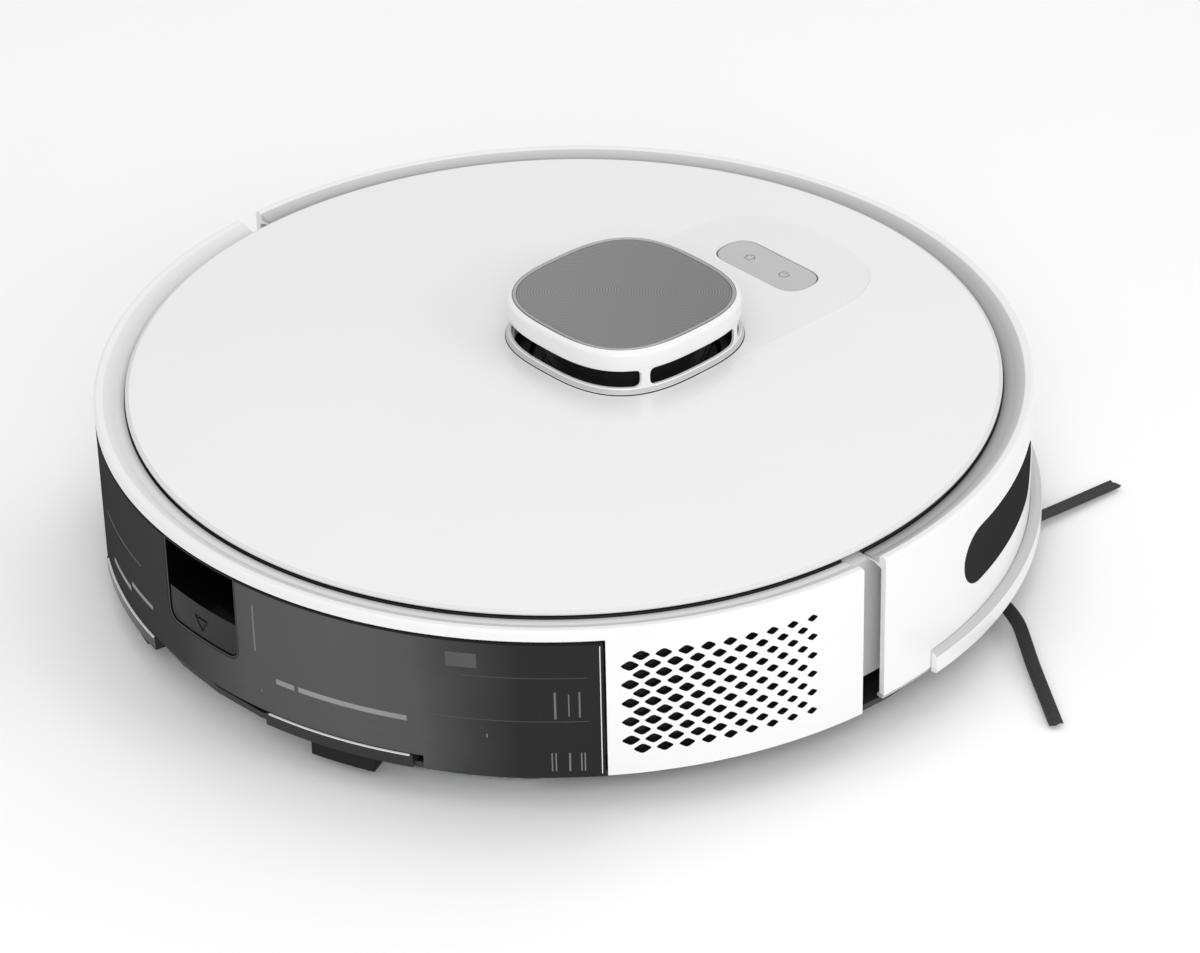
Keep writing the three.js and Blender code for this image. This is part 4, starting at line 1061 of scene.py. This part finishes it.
def tyre(side):
    """A tread of slanted lugs round a drive wheel."""
    node = f"wheel_tyre_{side}"
    low, high = edges(node)
    centre, radius = (low + high) / 2, (high.z - low.z) / 2
    lugs, root, half = 30, 1.7, (high.x - low.x) / 2
    loops = []
    for x, drop, turn in ((-half, 1.6, 0.7), (-half + 1.0, 0.3, 0.55), (-half * 0.5, 0, 0.28), (0, 0, 0),
                          (half * 0.5, 0, 0.28), (half - 1.0, 0.3, 0.55), (half, 1.6, 0.7)):
        loop = []
        for i in range(lugs):
            for phase, height in ((0.0, 0), (0.55, 0), (0.64, root), (0.91, root)):
                t = 2 * math.pi * (i + phase + turn) / lugs
                r = radius - drop - height
                loop.append((centre.x + x, r * math.cos(t), r * math.sin(t)))
        loops.append(loop)
    count, bore_r = lugs * 4, 26.3
    for x in (half, -half):
        turns = [2 * math.pi * i / count for i in range(count)]
        loops.append([(centre.x + x, bore_r * math.cos(t), bore_r * math.sin(t)) for t in turns])
    tread = loft(f"tread_{side}", about_x(loops, centre), f"wheel_{side}", closed=True)
    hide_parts(node)
    dress(soften(tread, 0.2, 40, 1), "tyre")


def side_brush_bundles():
    """Each arm is a flat bundle of nylon strands, bowed and trailing down to the floor."""
    low, high = edges("side_brush_hub")
    centre = (low + high) / 2
    reach, first = 92.1, 154.3  # mm to the tips, and degrees to the first arm
    rows, columns, pitch, lift_step = 3, 12, 0.44, 0.42
    lowest, strand_radius = 0.9, 0.24
    route = [(9, 0.6, 6.8), (15, 4.4, 6.6), (22, 7.6, 6.2), (34, 8.6, 5.4), (46, 7.0, 4.4), (60, 4.7, 3.6),
             (reach, 0.4, 2.0)]
    for arm in range(3):
        t = math.radians(first + 120 * arm)
        along = Vector((math.cos(t), math.sin(t)))
        across = Vector((-math.sin(t), math.cos(t)))
        points, faces = [], []
        for row in range(rows):
            for column in range(columns):
                offset = (column - (columns - 1) / 2) * pitch
                fray = 0.6 * math.sin(column * 12.9898 + row * 78.233 + arm * 3.1)
                lift = (row - 1) * lift_step
                strand = []
                for k, (a, b, z) in enumerate(route):
                    share = k / (len(route) - 1)
                    width = 0.8 + 0.2 * min(1, share * 3)
                    place = along * (a + fray * share) + across * (b + offset * width)
                    height = max(lowest, z + lift * (1 - share * 0.4))
                    strand.append(Vector((centre.x + place.x, centre.y + place.y, height)))
                add_strand(points, faces, smooth_line(strand, 5), strand_radius)
        bundle = piece(f"bristle_bundle_{arm + 1}", points, faces, "side_brush")
        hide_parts(f"side_brush_bristles_{arm + 1}")
        dress(bundle, "bristle")
        bundle.data.shade_smooth()


def smooth_line(points, steps):
    """Catmull-Rom points through the given ones."""
    padded = [points[0] * 2 - points[1], *points, points[-1] * 2 - points[-2]]
    line = []
    for i in range(1, len(padded) - 2):
        a, b, c, d = padded[i - 1:i + 3]
        for j in range(steps):
            t = j / steps
            line.append(0.5 * ((2 * b) + (c - a) * t + (2 * a - 5 * b + 4 * c - d) * t * t
                               + (3 * b - a - 3 * c + d) * t ** 3))
    line.append(padded[-2])
    return line


def add_strand(points, faces, line, radius, sides=4):
    """Adds a thin closed tube along a line to a mesh's points and faces."""
    start = len(points)
    for i, point in enumerate(line):
        ahead = line[min(i + 1, len(line) - 1)] - line[max(i - 1, 0)]
        side = Vector((-ahead.y, ahead.x, 0)).normalized()
        up = ahead.cross(side).normalized()
        for j in range(sides):
            t = 2 * math.pi * (j + 0.5) / sides
            points.append(tuple(point + side * radius * math.cos(t) + up * radius * math.sin(t)))
    for i in range(len(line) - 1):
        for j in range(sides):
            a, b = start + i * sides + j, start + i * sides + (j + 1) % sides
            faces.append((a, b, b + sides, a + sides))
    for end in (start, start + (len(line) - 1) * sides):
        faces.append(tuple(end + j for j in range(sides)))


# ---- studio
def studio():
    """A pale floor, a pale sky, and broad soft lights."""
    reach = 3000
    corners = [(x, y, 0) for x, y in rectangle(reach, reach)]
    floor = piece("floor", corners, [(0, 1, 2, 3)], None)
    made, tree, shader, at = material("studio_floor", grey(0.96), 0.6, specular=0.2)
    tint(tree, shader, noise(tree, at, 3), grey(0.955), grey(0.97))
    floor.data.materials.append(made)
    world = bpy.data.worlds.new("studio")
    world.use_nodes = True
    sky = world.node_tree.nodes["Background"]
    sky.inputs["Color"].default_value = (1, 1, 1, 1)
    sky.inputs["Strength"].default_value = 0.70
    SCENE.world = world
    SCENE.view_settings.view_transform = "Standard"
    lights = {  # place and size in metres, power in watts
        "front": ((-1.34, 1.20, 1.26), 1.3, 14.5),
        "top": ((0.3, -0.4, 2.2), 1.6, 7.5),
        "side": ((-1.9, -0.6, 0.9), 0.9, 7.0),
    }
    for name, (place, size, power) in lights.items():
        light = bpy.data.lights.new(name, "AREA")
        light.shape = "DISK"
        light.size = size
        light.energy = power
        lamp = bpy.data.objects.new(name, light)
        lamp.location = place
        lamp.rotation_euler = (Vector((0, 0, 0.05)) - Vector(place)).to_track_quat("-Z", "Y").to_euler()
        SCENE.collection.objects.link(lamp)


def camera():
    """The viewing angle: from behind and to the right, looking down 32.45 degrees, tipped 1.32 degrees."""
    azimuth, elevation, roll = math.radians(228.2), math.radians(32.45), math.radians(-1.32)
    target, distance = Vector((0.0174, -0.0322, 0.0047)), 1.7174
    level = math.cos(elevation)
    out = Vector((math.sin(azimuth) * level, -math.cos(azimuth) * level, math.sin(elevation)))
    right = (-out).cross(Vector((0, 0, 1))).normalized()
    up = right.cross(-out)
    across = right * math.cos(roll) + up * math.sin(roll)
    upright = up * math.cos(roll) - right * math.sin(roll)
    lens = bpy.data.cameras.new("camera")
    lens.lens = 135
    lens.sensor_width = 36
    lens.clip_start = 0.05
    holder = bpy.data.objects.new("camera", lens)
    turn = Matrix((across, upright, out)).transposed()
    holder.matrix_world = Matrix.Translation(target + out * distance) @ turn.to_4x4()
    SCENE.collection.objects.link(holder)
    bpy.context.scene.camera = holder


carry_over()
camera()
studio()
upper_housing()
top_plate()
rocker_pad()
turret()
bumper()
dust_bin()
mop()
for wheel_side, _ in SIDES:
    tyre(wheel_side)
side_brush_bundles()
